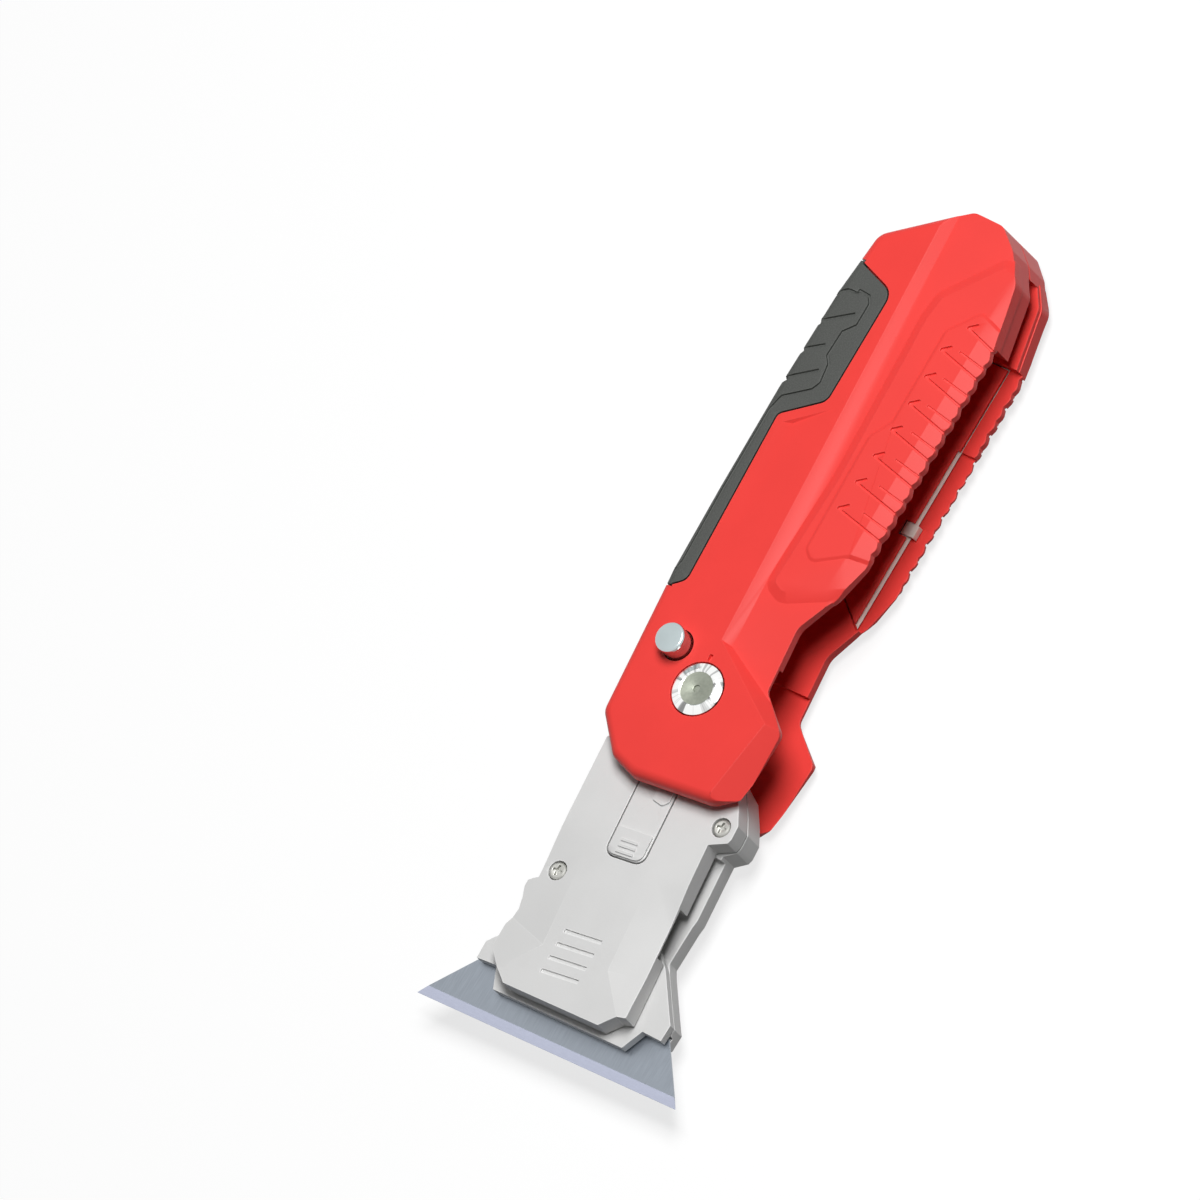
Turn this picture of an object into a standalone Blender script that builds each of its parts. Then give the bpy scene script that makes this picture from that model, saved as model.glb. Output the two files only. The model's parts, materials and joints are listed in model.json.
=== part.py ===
"""Folding utility knife with a trapezoid blade set across the end of its head.

The knife lies on the flat face of its rear shell. X runs from the butt to the
blade's edge, Y from the spine to the belly and Z from the rear face to the
front. Every piece is placed from the axis that the head folds on.
"""

from math import atan2, cos, pi, radians, sin, tan

import bmesh
import bpy
from mathutils import Matrix, Vector

MM = 0.001

# Fits between pieces
GAP = 0.3 * MM              # clearance between pieces that lie against each other
SEAM = 0.3 * MM             # parting line between the two handle shells
SMALL_FIT = 0.2 * MM        # clearance round pins and small screws

# Place of the fold axis, so that the knife's box is centred on the origin
PIVOT_X = 15.8 * MM
PIVOT_Y = -3.95 * MM

# Handle shells
HANDLE_THICK = 20.0 * MM
CHANNEL_WIDE = 11.2 * MM    # space between the shells that the head folds into
CHEEK_THICK = 3.2 * MM      # each shell beside the pivot
BUTT_X = -101.5 * MM
SPINE_Y = -18.9 * MM
BELLY_Y = 15.9 * MM
BUMP_Y = 19.2 * MM
WAIST_Y = 11.0 * MM
EDGE_ROUND = 1.8 * MM
CREST_Y = -0.9 * MM         # edge between the flat face and the facet beside it
CREST_BAND = 2.0 * MM
CREST_DROP = 1.2 * MM
CREST_LEAN = 0.058          # how far that facet leans towards the spine along the handle
SLOPE_END_Y = 12.8 * MM
SLOPE_END_DROP = 2.7 * MM   # fall of the sloped face from the flat one, and then of its rim
RIM_DROP = 3.7 * MM
KINK_X = -10.0 * MM         # where the facet turns towards the bolster's bump
KINK_SLANT = 0.503
KINK_RUN = 0.95             # run of the facet beside the bolster for each unit of its height
BUMP_FACET_Y = 16.5 * MM    # inner edge of the facet along the bolster's bump
BUMP_FACET_FALL = 0.75
BUMP_FACET_SLANT = 0.165
RECESS_DEEP = 0.5 * MM      # sunk part of the flat face, which runs out beside the button
INDEX_WIDE = 0.7 * MM       # short mark beside the pivot
BUTT_BLOCK_X = -80.5 * MM   # solid end of the channel
SPINE_WALL_Y = -10.8 * MM   # inner face of the wall along the spine
SPINE_WALL_END = -5.0 * MM
BLADE_SLIT = 3.8 * MM       # slit through the solid end, level with the blade

# Raised finger pod on the belly
POD_RISE = 0.9 * MM
POD_WALL = 2.2 * MM         # width of the pod's sloped edge
PANEL_RISE = 0.35 * MM
PANEL_WALL = 0.7 * MM
POD_PROUD = 0.2 * MM
POD_OVERHANG = 1.0 * MM     # how far the areas are drawn past the belly before they are trimmed
POD_SINK = 0.15 * MM        # the pod stays this far below the flat face
CHEVRON_COUNT = 8
CHEVRON_FIRST_X = -81.6 * MM
CHEVRON_PITCH = 5.75 * MM
CHEVRON_WIDE = 0.45 * MM
CHEVRON_DEEP = 0.5 * MM
HALF_LINE_WIDE = 0.35 * MM
HALF_LINE_DEEP = 0.3 * MM
RIPPLE_WIDE = 1.7 * MM      # notches along the belly's rim
RIPPLE_DEEP = 0.35 * MM
CHEVRON_LEAN = 3.0 * MM     # how far a groove leans towards the head at the belly

# Rubber inset on the spine
GRIP_DEEP = 1.6 * MM
GRIP_LINE_WIDE = 0.55 * MM
GRIP_LINE_DEEP = 0.5 * MM

# Pivot
PIVOT_HEAD_RADIUS = 5.1 * MM
PIVOT_HEAD_THICK = 1.8 * MM
PIVOT_PROUD = 0.5 * MM
PIVOT_DISC_RADIUS = 3.2 * MM
SLEEVE_RADIUS = 3.2 * MM
SLEEVE_WALL = 0.9 * MM
WASHER_RADIUS = 6.0 * MM

# Lock button
BUTTON_X = -5.9 * MM
BUTTON_Y = -8.5 * MM
BUTTON_RADIUS = 2.95 * MM
BUTTON_TOP = 24.0 * MM
BUTTON_TRAVEL = 2.4 * MM
WELL_FLOOR = 1.4 * MM
PLUNGER_RADIUS = 2.2 * MM
FLANGE_RADIUS = 3.6 * MM
FLANGE_THICK = 1.0 * MM
LOCK_WIRE = 0.5 * MM
LOCK_COIL_RADIUS = 1.5 * MM

# Screws through the rear shell
SHELL_SCREW_RADIUS = 1.0 * MM
SHELL_SCREW_HEAD = 1.8 * MM
SHELL_SCREW_SINK = 2.2 * MM
SHELL_SCREW_PLACES = (
    (-11.5 * MM, -14.4 * MM),
    (-42.0 * MM, -12.8 * MM),
    (-88.5 * MM, -10.5 * MM),
    (-95.3 * MM, -1.0 * MM),
)

# Head, made of a rear frame and a front cover
HEAD_THICK = 9.6 * MM
COVER_THICK = 4.1 * MM
COVER_SKIN = 1.2 * MM
SIDE_SLOT = 2.2 * MM        # gap at the side for the blade in its other place
HEAD_SKEW = radians(5.1)
HEAD_START_X = 9.5 * MM
HEAD_LINE_X = 24.4 * MM     # a point on the head's skewed middle line
HEAD_LINE_Y = 0.75 * MM
HEAD_END_X = 63.1 * MM
BOSS_RADIUS = 6.3 * MM
LEDGE_PROUD = 1.2 * MM
CAVITY_X = 38.4 * MM
WALL = 2.0 * MM
GROOVE_PITCH = 2.8 * MM
GROOVE_WIDE = 0.7 * MM
GROOVE_DEEP = 0.4 * MM
FACET_DROP = 1.4 * MM       # fall of the cover's facets where they are deepest
FACET_STEPS = 6
HEAD_SCREW_RADIUS = 1.75 * MM
HEAD_SCREW_SHANK = 1.0 * MM
HEAD_SCREW_DEEP = 1.3 * MM
LEFT_SCREW = (40.0 * MM, -9.7 * MM)
RIGHT_SCREW = (20.4 * MM, 16.3 * MM)

# Blade and the plate with wings that holds it
BLADE_LONG = 61.0 * MM
BLADE_WIDE = 19.3 * MM
BLADE_THICK = 0.6 * MM
BLADE_SIDE = radians(38.0)
BLADE_EDGE_X = 69.9 * MM
BLADE_MIDDLE_Y = 3.95 * MM
BEVEL_WIDE = 1.9 * MM
NOTCH_WIDE = 4.0 * MM
NOTCH_DEEP = 4.3 * MM
NOTCH_PITCH = 6.8 * MM
HOLE_WIDE = 3.8 * MM
HOLE_LONG = 3.0 * MM
HOLE_PLACE = 6.8 * MM       # holes' middle from the blade's back
HOLDER_THICK = 1.8 * MM
HOLDER_LEDGE = 1.0 * MM     # how far the plate shows past the cover
WING_MARGIN = 1.7 * MM
PIN_RADIUS = 1.6 * MM
LATCH_RADIUS = 0.8 * MM

# Release slider
SLIDER_WIDE = 8.3 * MM
SLIDER_START_X = 17.4 * MM
SLIDER_END_X = 33.1 * MM
SLIDER_TRAVEL = 4.0 * MM
SLIDER_ROUND = 1.8 * MM
SLIDER_FOOT_WIDE = 12.0 * MM
TONGUE_THICK = 1.1 * MM
TONGUE_WIDE = 9.6 * MM
PAD_LONG = 5.6 * MM
PAD_PROUD = 0.75 * MM
PAD_RIBS = 3
PAD_RIB_PITCH = 1.15 * MM
PAD_RIB_LONG = 3.8 * MM
PAD_RIB_PROUD = 0.3 * MM
NIB_PROUD = 0.4 * MM
SLIDER_WIRE = 0.4 * MM
SLIDER_COIL_RADIUS = 1.3 * MM

# Spare blades and their clip
STORE_EDGE_Y = 12.6 * MM
STORE_END_X = -25.5 * MM
STORE_SHOWS = 0.5 * MM      # width of the spare edge that its cover leaves bare
CLIP_X = -46.0 * MM
STORE_COVERED_X = -63.0 * MM  # the cover hides the whole blade from here to the butt
CLIP_WIDE = 2.4 * MM
CLIP_THICK = 0.4 * MM

ROUND_STEPS = 32
SMALL_STEPS = 12
ARC_STEPS = 5

# Heights that follow from the sizes above
MIDDLE = HANDLE_THICK / 2
CHANNEL_LOW = MIDDLE - CHANNEL_WIDE / 2
CHANNEL_HIGH = MIDDLE + CHANNEL_WIDE / 2
CHEEK_LOW = CHEEK_THICK
CHEEK_HIGH = HANDLE_THICK - CHEEK_THICK
SLOPE_END_Z = HANDLE_THICK - SLOPE_END_DROP
RIM_Z = HANDLE_THICK - RIM_DROP
HEAD_LOW = MIDDLE - HEAD_THICK / 2
HEAD_HIGH = MIDDLE + HEAD_THICK / 2
WASHER_THICK = CHEEK_HIGH - HEAD_HIGH - 2 * GAP
COVER_LOW = HEAD_HIGH - COVER_THICK
FRAME_HIGH = COVER_LOW - SIDE_SLOT
HOLDER_HIGH = COVER_LOW - GAP
HOLDER_LOW = HOLDER_HIGH - HOLDER_THICK
BLADE_HIGH = HOLDER_LOW - GAP
BLADE_LOW = BLADE_HIGH - BLADE_THICK
POCKET_FLOOR = BLADE_LOW - GAP
TONGUE_LOW = COVER_LOW + SMALL_FIT
TONGUE_HIGH = TONGUE_LOW + TONGUE_THICK
BLADE_BACK_X = BLADE_EDGE_X - BLADE_WIDE
PIN_X = BLADE_BACK_X + NOTCH_DEEP - NOTCH_WIDE / 2
LATCH_X = BLADE_BACK_X + HOLE_PLACE


for leftover in list(bpy.data.objects):
    bpy.data.objects.remove(leftover, do_unlink=True)

parts = bpy.data.collections.new("folding_utility_knife")
cutters = bpy.data.collections.new("cutters")
bpy.context.scene.collection.children.link(parts)
bpy.context.scene.collection.children.link(cutters)


def add_axis(name):
    """Empty on the fold axis that pieces are placed from."""
    axis = bpy.data.objects.new(name, None)
    axis.location = (PIVOT_X, PIVOT_Y, 0)
    axis.empty_display_size = 10 * MM
    parts.objects.link(axis)
    return axis


handle_axis = add_axis("handle_axis")
head_axis = add_axis("head_axis")


def make_material(name, colour, roughness, metallic):
    material = bpy.data.materials.new(name)
    material.use_nodes = True
    shader = material.node_tree.nodes["Principled BSDF"]
    shader.inputs["Base Color"].default_value = (*colour, 1)
    shader.inputs["Roughness"].default_value = roughness
    shader.inputs["Metallic"].default_value = metallic
    return material


RED = ((0.72, 0.035, 0.03), 0.4, 0.0)
RUBBER = ((0.07, 0.075, 0.07), 0.8, 0.0)
CAST = ((0.62, 0.62, 0.61), 0.42, 1.0)
STEEL = ((0.42, 0.44, 0.46), 0.3, 1.0)
BRIGHT = ((0.8, 0.81, 0.8), 0.15, 1.0)
BRASS = ((0.7, 0.52, 0.22), 0.35, 1.0)


def keep(piece, name, axis, look):
    """Take a finished piece into the object under its name, with its own look."""
    cutters.objects.unlink(piece)
    parts.objects.link(piece)
    piece.name = name
    piece.data.name = name
    piece.parent = axis
    piece.hide_render = False
    piece.display_type = "TEXTURED"
    piece.data.materials.clear()
    piece.data.materials.append(make_material(name, *look))
    return piece


def place(mesh, name):
    """New working solid, placed from the fold axis."""
    piece = bpy.data.objects.new(name, mesh)
    piece.parent = handle_axis
    piece.hide_render = True
    piece.display_type = "WIRE"
    cutters.objects.link(piece)
    return piece


def cutter_from(shape, name):
    """Turn a closed bmesh into an object with its normals outwards."""
    bmesh.ops.recalc_face_normals(shape, faces=shape.faces)
    mesh = bpy.data.meshes.new(name)
    shape.to_mesh(mesh)
    shape.free()
    return place(mesh, name)


def solid_mesh(source, name):
    """Plain closed mesh of what an object shows, with its seams welded."""
    depsgraph = bpy.context.evaluated_depsgraph_get()
    mesh = bpy.data.meshes.new_from_object(source.evaluated_get(depsgraph), depsgraph=depsgraph)
    mesh.name = name
    shape = bmesh.new()
    shape.from_mesh(mesh)
    bmesh.ops.remove_doubles(shape, verts=shape.verts, dist=0.001 * MM)
    bmesh.ops.dissolve_limit(shape, angle_limit=radians(0.1), verts=shape.verts, edges=shape.edges)
    bmesh.ops.recalc_face_normals(shape, faces=shape.faces)
    shape.to_mesh(mesh)
    shape.free()
    return mesh


def plate(name, outline, low, high):
    """Upright solid on a flat outline, from one height to another."""
    curve = bpy.data.curves.new(name, "CURVE")
    curve.dimensions = "2D"
    curve.fill_mode = "BOTH"
    curve.extrude = (high - low) / 2
    line = curve.splines.new("POLY")
    line.points.add(len(outline) - 1)
    for point, (x, y) in zip(line.points, outline):
        point.co = (x, y, 0, 1)
    line.use_cyclic_u = True
    drawn = bpy.data.objects.new(name, curve)
    cutters.objects.link(drawn)
    mesh = solid_mesh(drawn, name)
    bpy.data.objects.remove(drawn, do_unlink=True)
    mesh.transform(Matrix.Translation((0, 0, (low + high) / 2)))
    return place(mesh, name)


def bar(name, profile, start, end):
    """Solid with a profile in Y and Z that runs along X."""
    piece = plate(name, profile, start, end)
    piece.data.transform(Matrix(((0, 0, 1, 0), (1, 0, 0, 0), (0, 1, 0, 0), (0, 0, 0, 1))))
    return piece


def turned(name, profile, spot, steps=ROUND_STEPS, ring=False):
    """Solid of a profile of radius and height, turned round an upright axis at a spot."""
    mesh = bpy.data.meshes.new(name)
    count = len(profile)
    edges = [(index, index + 1) for index in range(count - 1)]
    if ring:
        edges.append((count - 1, 0))
    mesh.from_pydata([(radius, 0, height) for radius, height in profile], edges, [])
    drawn = bpy.data.objects.new(name, mesh)
    cutters.objects.link(drawn)
    turn = drawn.modifiers.new("turn", "SCREW")
    turn.axis = "Z"
    turn.angle = 2 * pi
    turn.steps = steps
    turn.render_steps = steps
    turn.use_merge_vertices = True
    turn.merge_threshold = 0.001 * MM
    finished = solid_mesh(drawn, name)
    bpy.data.objects.remove(drawn, do_unlink=True)
    piece = place(finished, name)
    piece.location = (spot[0], spot[1], 0)
    return piece


def pillar(name, spot, radius, low, high, steps=ROUND_STEPS):
    return turned(name, [(0, high), (radius, high), (radius, low), (0, low)], spot, steps)


def coil(name, radius, wire, length, turns, steps=8):
    """Open coil of round wire along Z, from zero to a length."""
    curve = bpy.data.curves.new(name, "CURVE")
    curve.dimensions = "3D"
    curve.bevel_depth = wire / 2
    curve.bevel_resolution = 1
    curve.use_fill_caps = True
    line = curve.splines.new("POLY")
    count = turns * steps
    line.points.add(count)
    rise = length - wire
    for index, point in enumerate(line.points):
        angle = 2 * pi * index / steps
        point.co = (radius * cos(angle), radius * sin(angle), wire / 2 + rise * index / count, 1)
    drawn = bpy.data.objects.new(name, curve)
    cutters.objects.link(drawn)
    mesh = solid_mesh(drawn, name)
    bpy.data.objects.remove(drawn, do_unlink=True)
    return place(mesh, name)


def combine(target, other, operation):
    step = target.modifiers.new(other.name, "BOOLEAN")
    step.operation = operation
    step.solver = "EXACT"
    step.object = other
    return target


def cut(target, *others):
    for other in others:
        combine(target, other, "DIFFERENCE")
    return target


def join(target, *others):
    for other in others:
        combine(target, other, "UNION")
    return target


def settle(piece):
    """Turn a working solid's steps into its own mesh."""
    mesh = solid_mesh(piece, piece.name)
    piece.modifiers.clear()
    piece.data = mesh
    return piece


def copy_of(piece, name):
    twin = place(piece.data.copy(), name)
    twin.location = piece.location
    return twin


def flip(piece):
    """Mirror a working solid from the front half to the rear half."""
    piece.data.transform(Matrix.Translation((0, 0, HANDLE_THICK)) @ Matrix.Scale(-1, 4, (0, 0, 1)))
    piece.data.flip_normals()
    return piece


def rounded(corners, steps=ARC_STEPS):
    """Outline through corners given as x, y and radius."""
    points = []
    for index, (x, y, radius) in enumerate(corners):
        here = Vector((x, y))
        if not radius:
            points.append((x, y))
            continue
        back = (Vector(corners[index - 1][:2]) - here).normalized()
        ahead = (Vector(corners[(index + 1) % len(corners)][:2]) - here).normalized()
        half = back.angle(ahead) / 2
        centre = here + (back + ahead).normalized() * radius / sin(half)
        first = here + back * radius / tan(half) - centre
        last = here + ahead * radius / tan(half) - centre
        start = atan2(first.y, first.x)
        sweep = (atan2(last.y, last.x) - start + pi) % (2 * pi) - pi
        for step in range(steps + 1):
            angle = start + sweep * step / steps
            points.append((centre.x + radius * cos(angle), centre.y + radius * sin(angle)))
    return points


def grown(outline, distance):
    """Outline moved outwards everywhere by a distance."""
    count = len(outline)
    area = sum(
        outline[index - 1][0] * outline[index][1] - outline[index][0] * outline[index - 1][1]
        for index in range(count)
    )
    side = distance if area > 0 else -distance
    points = []
    for index, (x, y) in enumerate(outline):
        here = Vector((x, y))
        back = (here - Vector(outline[index - 1])).normalized()
        ahead = (Vector(outline[(index + 1) % count]) - here).normalized()
        first = Vector((back.y, -back.x))
        second = Vector((ahead.y, -ahead.x))
        moved = here + (first + second) * side / (1 + first.dot(second))
        points.append((moved.x, moved.y))
    return points


def mm(*corners):
    """Corners written in millimetres."""
    return [tuple(value * MM for value in corner) for corner in corners]


def along_head(x, across):
    """Point of the head's skewed plan: a distance from the pivot and one across."""
    middle = HEAD_LINE_Y + (x - HEAD_LINE_X) * tan(HEAD_SKEW)
    return (x - across * sin(HEAD_SKEW), middle + across * cos(HEAD_SKEW))


def head_box(name, start, end, half_wide, low, high):
    """Straight block along the head's skewed middle line."""
    outline = [
        along_head(start, -half_wide),
        along_head(end, -half_wide),
        along_head(end, half_wide),
        along_head(start, half_wide),
    ]
    return plate(name, outline, low, high)


def round_top(piece, height, radius):
    """Round the edge all along the top of an upright solid."""
    shape = bmesh.new()
    shape.from_mesh(piece.data)
    edges = [
        edge for edge in shape.edges
        if all(abs(vert.co.z - height) < 0.01 * MM for vert in edge.verts)
        and edge.calc_face_angle(0) > radians(30)
    ]
    bmesh.ops.bevel(shape, geom=edges, offset=radius, segments=4, profile=0.5, affect="EDGES")
    shape.to_mesh(piece.data)
    shape.free()
    return piece


def handle_outline():
    return rounded([
        (BUTT_X, -1.8 * MM, 2.2 * MM),
        (-90.5 * MM, -17.0 * MM, 3.5 * MM),
        (-78.0 * MM, SPINE_Y + 0.6 * MM, 0),
        (-57.0 * MM, SPINE_Y, 0),
        (-36.0 * MM, SPINE_Y + 0.1 * MM, 0),
        (-19.0 * MM, SPINE_Y + 0.5 * MM, 0),
        (10.5 * MM, -15.8 * MM, 3.0 * MM),
        (17.5 * MM, -9.2 * MM, 3.0 * MM),
        (19.3 * MM, -3.5 * MM, 3.0 * MM),
        (17.9 * MM, 14.2 * MM, 4.0 * MM),
        (14.6 * MM, BUMP_Y - 0.4 * MM, 3.0 * MM),
        (0.8 * MM, BUMP_Y, 2.2 * MM),
        (-5.3 * MM, WAIST_Y + 0.7 * MM, 2.0 * MM),
        (-18.4 * MM, WAIST_Y - 0.6 * MM, 4.0 * MM),
        (-26.6 * MM, BELLY_Y - 1.8 * MM, 3.0 * MM),
        (-33.6 * MM, BELLY_Y, 0),
        (-79.0 * MM, BELLY_Y, 0),
        (-92.6 * MM, BELLY_Y - 3.0 * MM, 3.0 * MM),
        (-98.2 * MM, 8.6 * MM, 2.4 * MM),
        (BUTT_X, 4.4 * MM, 2.4 * MM),
    ])


def above_slope(name, rise):
    """Space in front of the belly's sloped face, or of an area raised from that face."""
    crest = CREST_Y + CREST_BAND
    crest_z = HANDLE_THICK - CREST_DROP
    fall = (crest_z - SLOPE_END_Z) / (SLOPE_END_Y - crest)
    lean = (SLOPE_END_Z - RIM_Z) / (BELLY_Y - SLOPE_END_Y)
    far = BELLY_Y + 15 * MM
    beyond = HANDLE_THICK + 8 * MM
    if rise:
        face = HANDLE_THICK - POD_SINK
        inner = [(CREST_Y, face), (crest + (crest_z + rise - face) / fall, face)]
    else:
        inner = [(CREST_Y, HANDLE_THICK), (crest, crest_z)]
    profile = [(CREST_Y, beyond)] + inner + [
        (SLOPE_END_Y, SLOPE_END_Z + rise),
        (far, SLOPE_END_Z + rise - lean * (far - SLOPE_END_Y)),
        (far, beyond),
    ]
    space = bar(name, profile, BUTT_X - 10 * MM, 0)
    slant = KINK_SLANT + KINK_RUN * fall
    for vert in space.data.vertices:
        inside = vert.co.y < SLOPE_END_Y - GAP
        if vert.co.x > BUTT_X:
            along = (vert.co.y - crest) * slant + (vert.co.z - crest_z) * KINK_RUN
            share = slant if inside else fall * KINK_RUN
            vert.co.x = KINK_X + along / (1 - CREST_LEAN * share)
        shift = (KINK_X - vert.co.x) * CREST_LEAN
        if inside:
            vert.co.y -= shift
        else:
            vert.co.z -= shift * fall
    return space


def bump_facet():
    """Space in front of the broad facet along the bolster's bump."""
    top = HANDLE_THICK + 8 * MM
    far = BUMP_Y + 12 * MM
    profile = [
        (BUMP_FACET_Y, HANDLE_THICK),
        (BUMP_FACET_Y, top),
        (far, top),
        (far, HANDLE_THICK - (far - BUMP_FACET_Y) * BUMP_FACET_FALL),
    ]
    space = bar("bump_facet", profile, -3 * MM, 30 * MM)
    for vert in space.data.vertices:
        vert.co.y -= vert.co.x * BUMP_FACET_SLANT
    return space


def face_recess():
    """Sunk wedge of the flat face, deepest beside the rubber and running out towards the button."""
    plan = mm((-51.4, -13.4), (-57.0, -6.0), (-15.0, -10.5))
    deepest_x = -52.0 * MM
    deepest_y = -11.8 * MM
    shape = bmesh.new()
    rim = [shape.verts.new((x, y, HANDLE_THICK + 0.02 * MM)) for x, y in plan]
    top = [shape.verts.new((x, y, HANDLE_THICK + 4 * MM)) for x, y in plan]
    deepest = shape.verts.new((deepest_x, deepest_y, HANDLE_THICK - RECESS_DEEP))
    for index in range(len(plan)):
        shape.faces.new((rim[index - 1], rim[index], deepest))
        shape.faces.new((rim[index - 1], rim[index], top[index], top[index - 1]))
    shape.faces.new(top)
    return cutter_from(shape, "face_recess")


def index_mark():
    half = INDEX_WIDE / 2
    outline = [(-6.9 * MM, -1.1 * MM - half), (-5.6 * MM, -1.0 * MM - half),
               (-5.6 * MM, -1.0 * MM + half), (-6.9 * MM, -1.1 * MM + half)]
    return plate("index_mark", outline, HANDLE_THICK - 0.8 * MM, HANDLE_THICK + 1 * MM)


def pod_outline():
    edge = BELLY_Y + POD_PROUD + POD_OVERHANG
    return rounded([
        (-94.6 * MM, 9.6 * MM, 0.8 * MM),
        (-84.4 * MM, 1.9 * MM, 2.0 * MM),
        (-80.0 * MM, 1.4 * MM, 0),
        (-46.6 * MM, 2.8 * MM, 0),
        (-24.1 * MM, 2.2 * MM, 1.0 * MM),
        (-23.0 * MM, 4.5 * MM, 1.5 * MM),
        (-29.6 * MM, edge, 1.5 * MM),
        (-79.0 * MM, edge, 0),
        (-93.6 * MM, edge - 3.0 * MM, 1.0 * MM),
    ])


def panel_outline():
    edge = BELLY_Y + POD_PROUD + POD_OVERHANG
    return rounded([
        (-84.8 * MM, 10.6 * MM, 0.8 * MM),
        (-79.2 * MM, 6.3 * MM, 1.2 * MM),
        (-60.0 * MM, 6.5 * MM, 1.5 * MM),
        (-55.6 * MM, 4.0 * MM, 1.5 * MM),
        (-32.2 * MM, 4.6 * MM, 1.2 * MM),
        (-30.6 * MM, 6.4 * MM, 1.2 * MM),
        (-34.6 * MM, 12.6 * MM, 1.2 * MM),
        (-35.2 * MM, edge, 0.8 * MM),
        (-82.6 * MM, edge, 0.8 * MM),
    ])


def raised_panel(name, outline, rise, step, wall, low):
    """Raised area that keeps the shape of the belly's sloped face and slopes down at its edge."""
    panel = plate(name, grown(outline, wall), low, HANDLE_THICK + 4 * MM)
    cut(panel, above_slope(name + "_slope", rise))
    settle(panel)
    shape = bmesh.new()
    shape.from_mesh(panel.data)
    tops = [face for face in shape.faces if face.normal.z > 0.5]
    bmesh.ops.inset_region(shape, faces=tops, thickness=wall, use_even_offset=True, use_boundary=True)
    shape.normal_update()
    for vert in shape.verts:
        upright = any(abs(face.normal.z) < 0.02 for face in vert.link_faces)
        if upright and vert.co.z > low + 0.01 * MM:
            vert.co.z -= step
    bmesh.ops.triangulate(shape, faces=shape.faces)
    shape.to_mesh(panel.data)
    shape.free()
    trim = plate(name + "_trim", grown(handle_outline(), POD_PROUD), MIDDLE, HANDLE_THICK + 4 * MM)
    combine(panel, trim, "INTERSECT")
    return settle(panel)


def chevrons(name):
    """Slanting finger grooves across the pod, each with a hook at its inner end."""
    reach = above_slope(name, POD_RISE + PANEL_RISE - CHEVRON_DEEP)
    lines = None
    for index in range(CHEVRON_COUNT):
        x = CHEVRON_FIRST_X + CHEVRON_PITCH * index
        start = 9.4 * MM if index == 0 else (7.0 - 0.35 * max(0, index - 3)) * MM
        outer = BELLY_Y + 4 * MM
        half = CHEVRON_WIDE / 2
        groove = [
            (x - 1.5 * MM, start + 1.6 * MM),
            (x - half, start),
            (x + half, start),
            (x + half + CHEVRON_LEAN, outer),
            (x - half + CHEVRON_LEAN, outer),
            (x - half + 0.2 * MM, start + 0.9 * MM),
            (x - 1.2 * MM, start + 2.0 * MM),
        ]
        line = plate(f"{name}_{index}", groove, RIM_Z - 2 * MM, HANDLE_THICK + 4 * MM)
        lines = join(lines, line) if lines else line
    combine(reach, settle(lines), "INTERSECT")
    return settle(reach)


def half_lines(name):
    """Short shallow lines near the rim, one between each two finger grooves."""
    reach = above_slope(name, POD_RISE + PANEL_RISE - HALF_LINE_DEEP)
    half = HALF_LINE_WIDE / 2
    outer = BELLY_Y + 4 * MM
    lines = None
    for index in range(CHEVRON_COUNT - 1):
        x = CHEVRON_FIRST_X + CHEVRON_PITCH * (index + 0.55)
        lean = CHEVRON_LEAN * 0.5
        outline = [
            (x + lean - half, SLOPE_END_Y - 2.2 * MM),
            (x + lean + half, SLOPE_END_Y - 2.2 * MM),
            (x + CHEVRON_LEAN + half, outer),
            (x + CHEVRON_LEAN - half, outer),
        ]
        line = plate(f"{name}_{index}", outline, RIM_Z - 2 * MM, HANDLE_THICK + 4 * MM)
        lines = join(lines, line) if lines else line
    combine(reach, settle(lines), "INTERSECT")
    return settle(reach)


def ripples(name):
    """Notches that scallop the belly's rim, in line with the finger grooves."""
    notches = None
    far = BELLY_Y + 3 * MM
    depth = far - BELLY_Y + RIPPLE_DEEP
    half = RIPPLE_WIDE / 2 * depth / RIPPLE_DEEP
    lean = CHEVRON_LEAN * (BELLY_Y - 7 * MM) / (BELLY_Y - 3 * MM)
    for index in range(2 * CHEVRON_COUNT):
        x = CHEVRON_FIRST_X + CHEVRON_PITCH * index / 2 + lean
        deep = RIPPLE_DEEP if index % 2 == 0 else RIPPLE_DEEP / 2
        reach = half * (far - BELLY_Y + deep) / depth
        outline = [(x - reach, far), (x, BELLY_Y - deep), (x + reach, far)]
        notch = plate(f"{name}_{index}", outline, MIDDLE - 1 * MM, HANDLE_THICK)
        notches = join(notches, notch) if notches else notch
    return settle(notches)


def spine_line(distance):
    """The spine's outline between the ends of the rubber inset, moved inwards."""
    return [
        (-84.6 * MM, SPINE_Y + 1.1 * MM + distance),
        (-78.0 * MM, SPINE_Y + 0.6 * MM + distance),
        (-57.0 * MM, SPINE_Y + distance),
        (-36.0 * MM, SPINE_Y + 0.1 * MM + distance),
        (-19.0 * MM, SPINE_Y + 0.5 * MM + distance),
        (-15.6 * MM, SPINE_Y + 0.8 * MM + distance),
    ]


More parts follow.
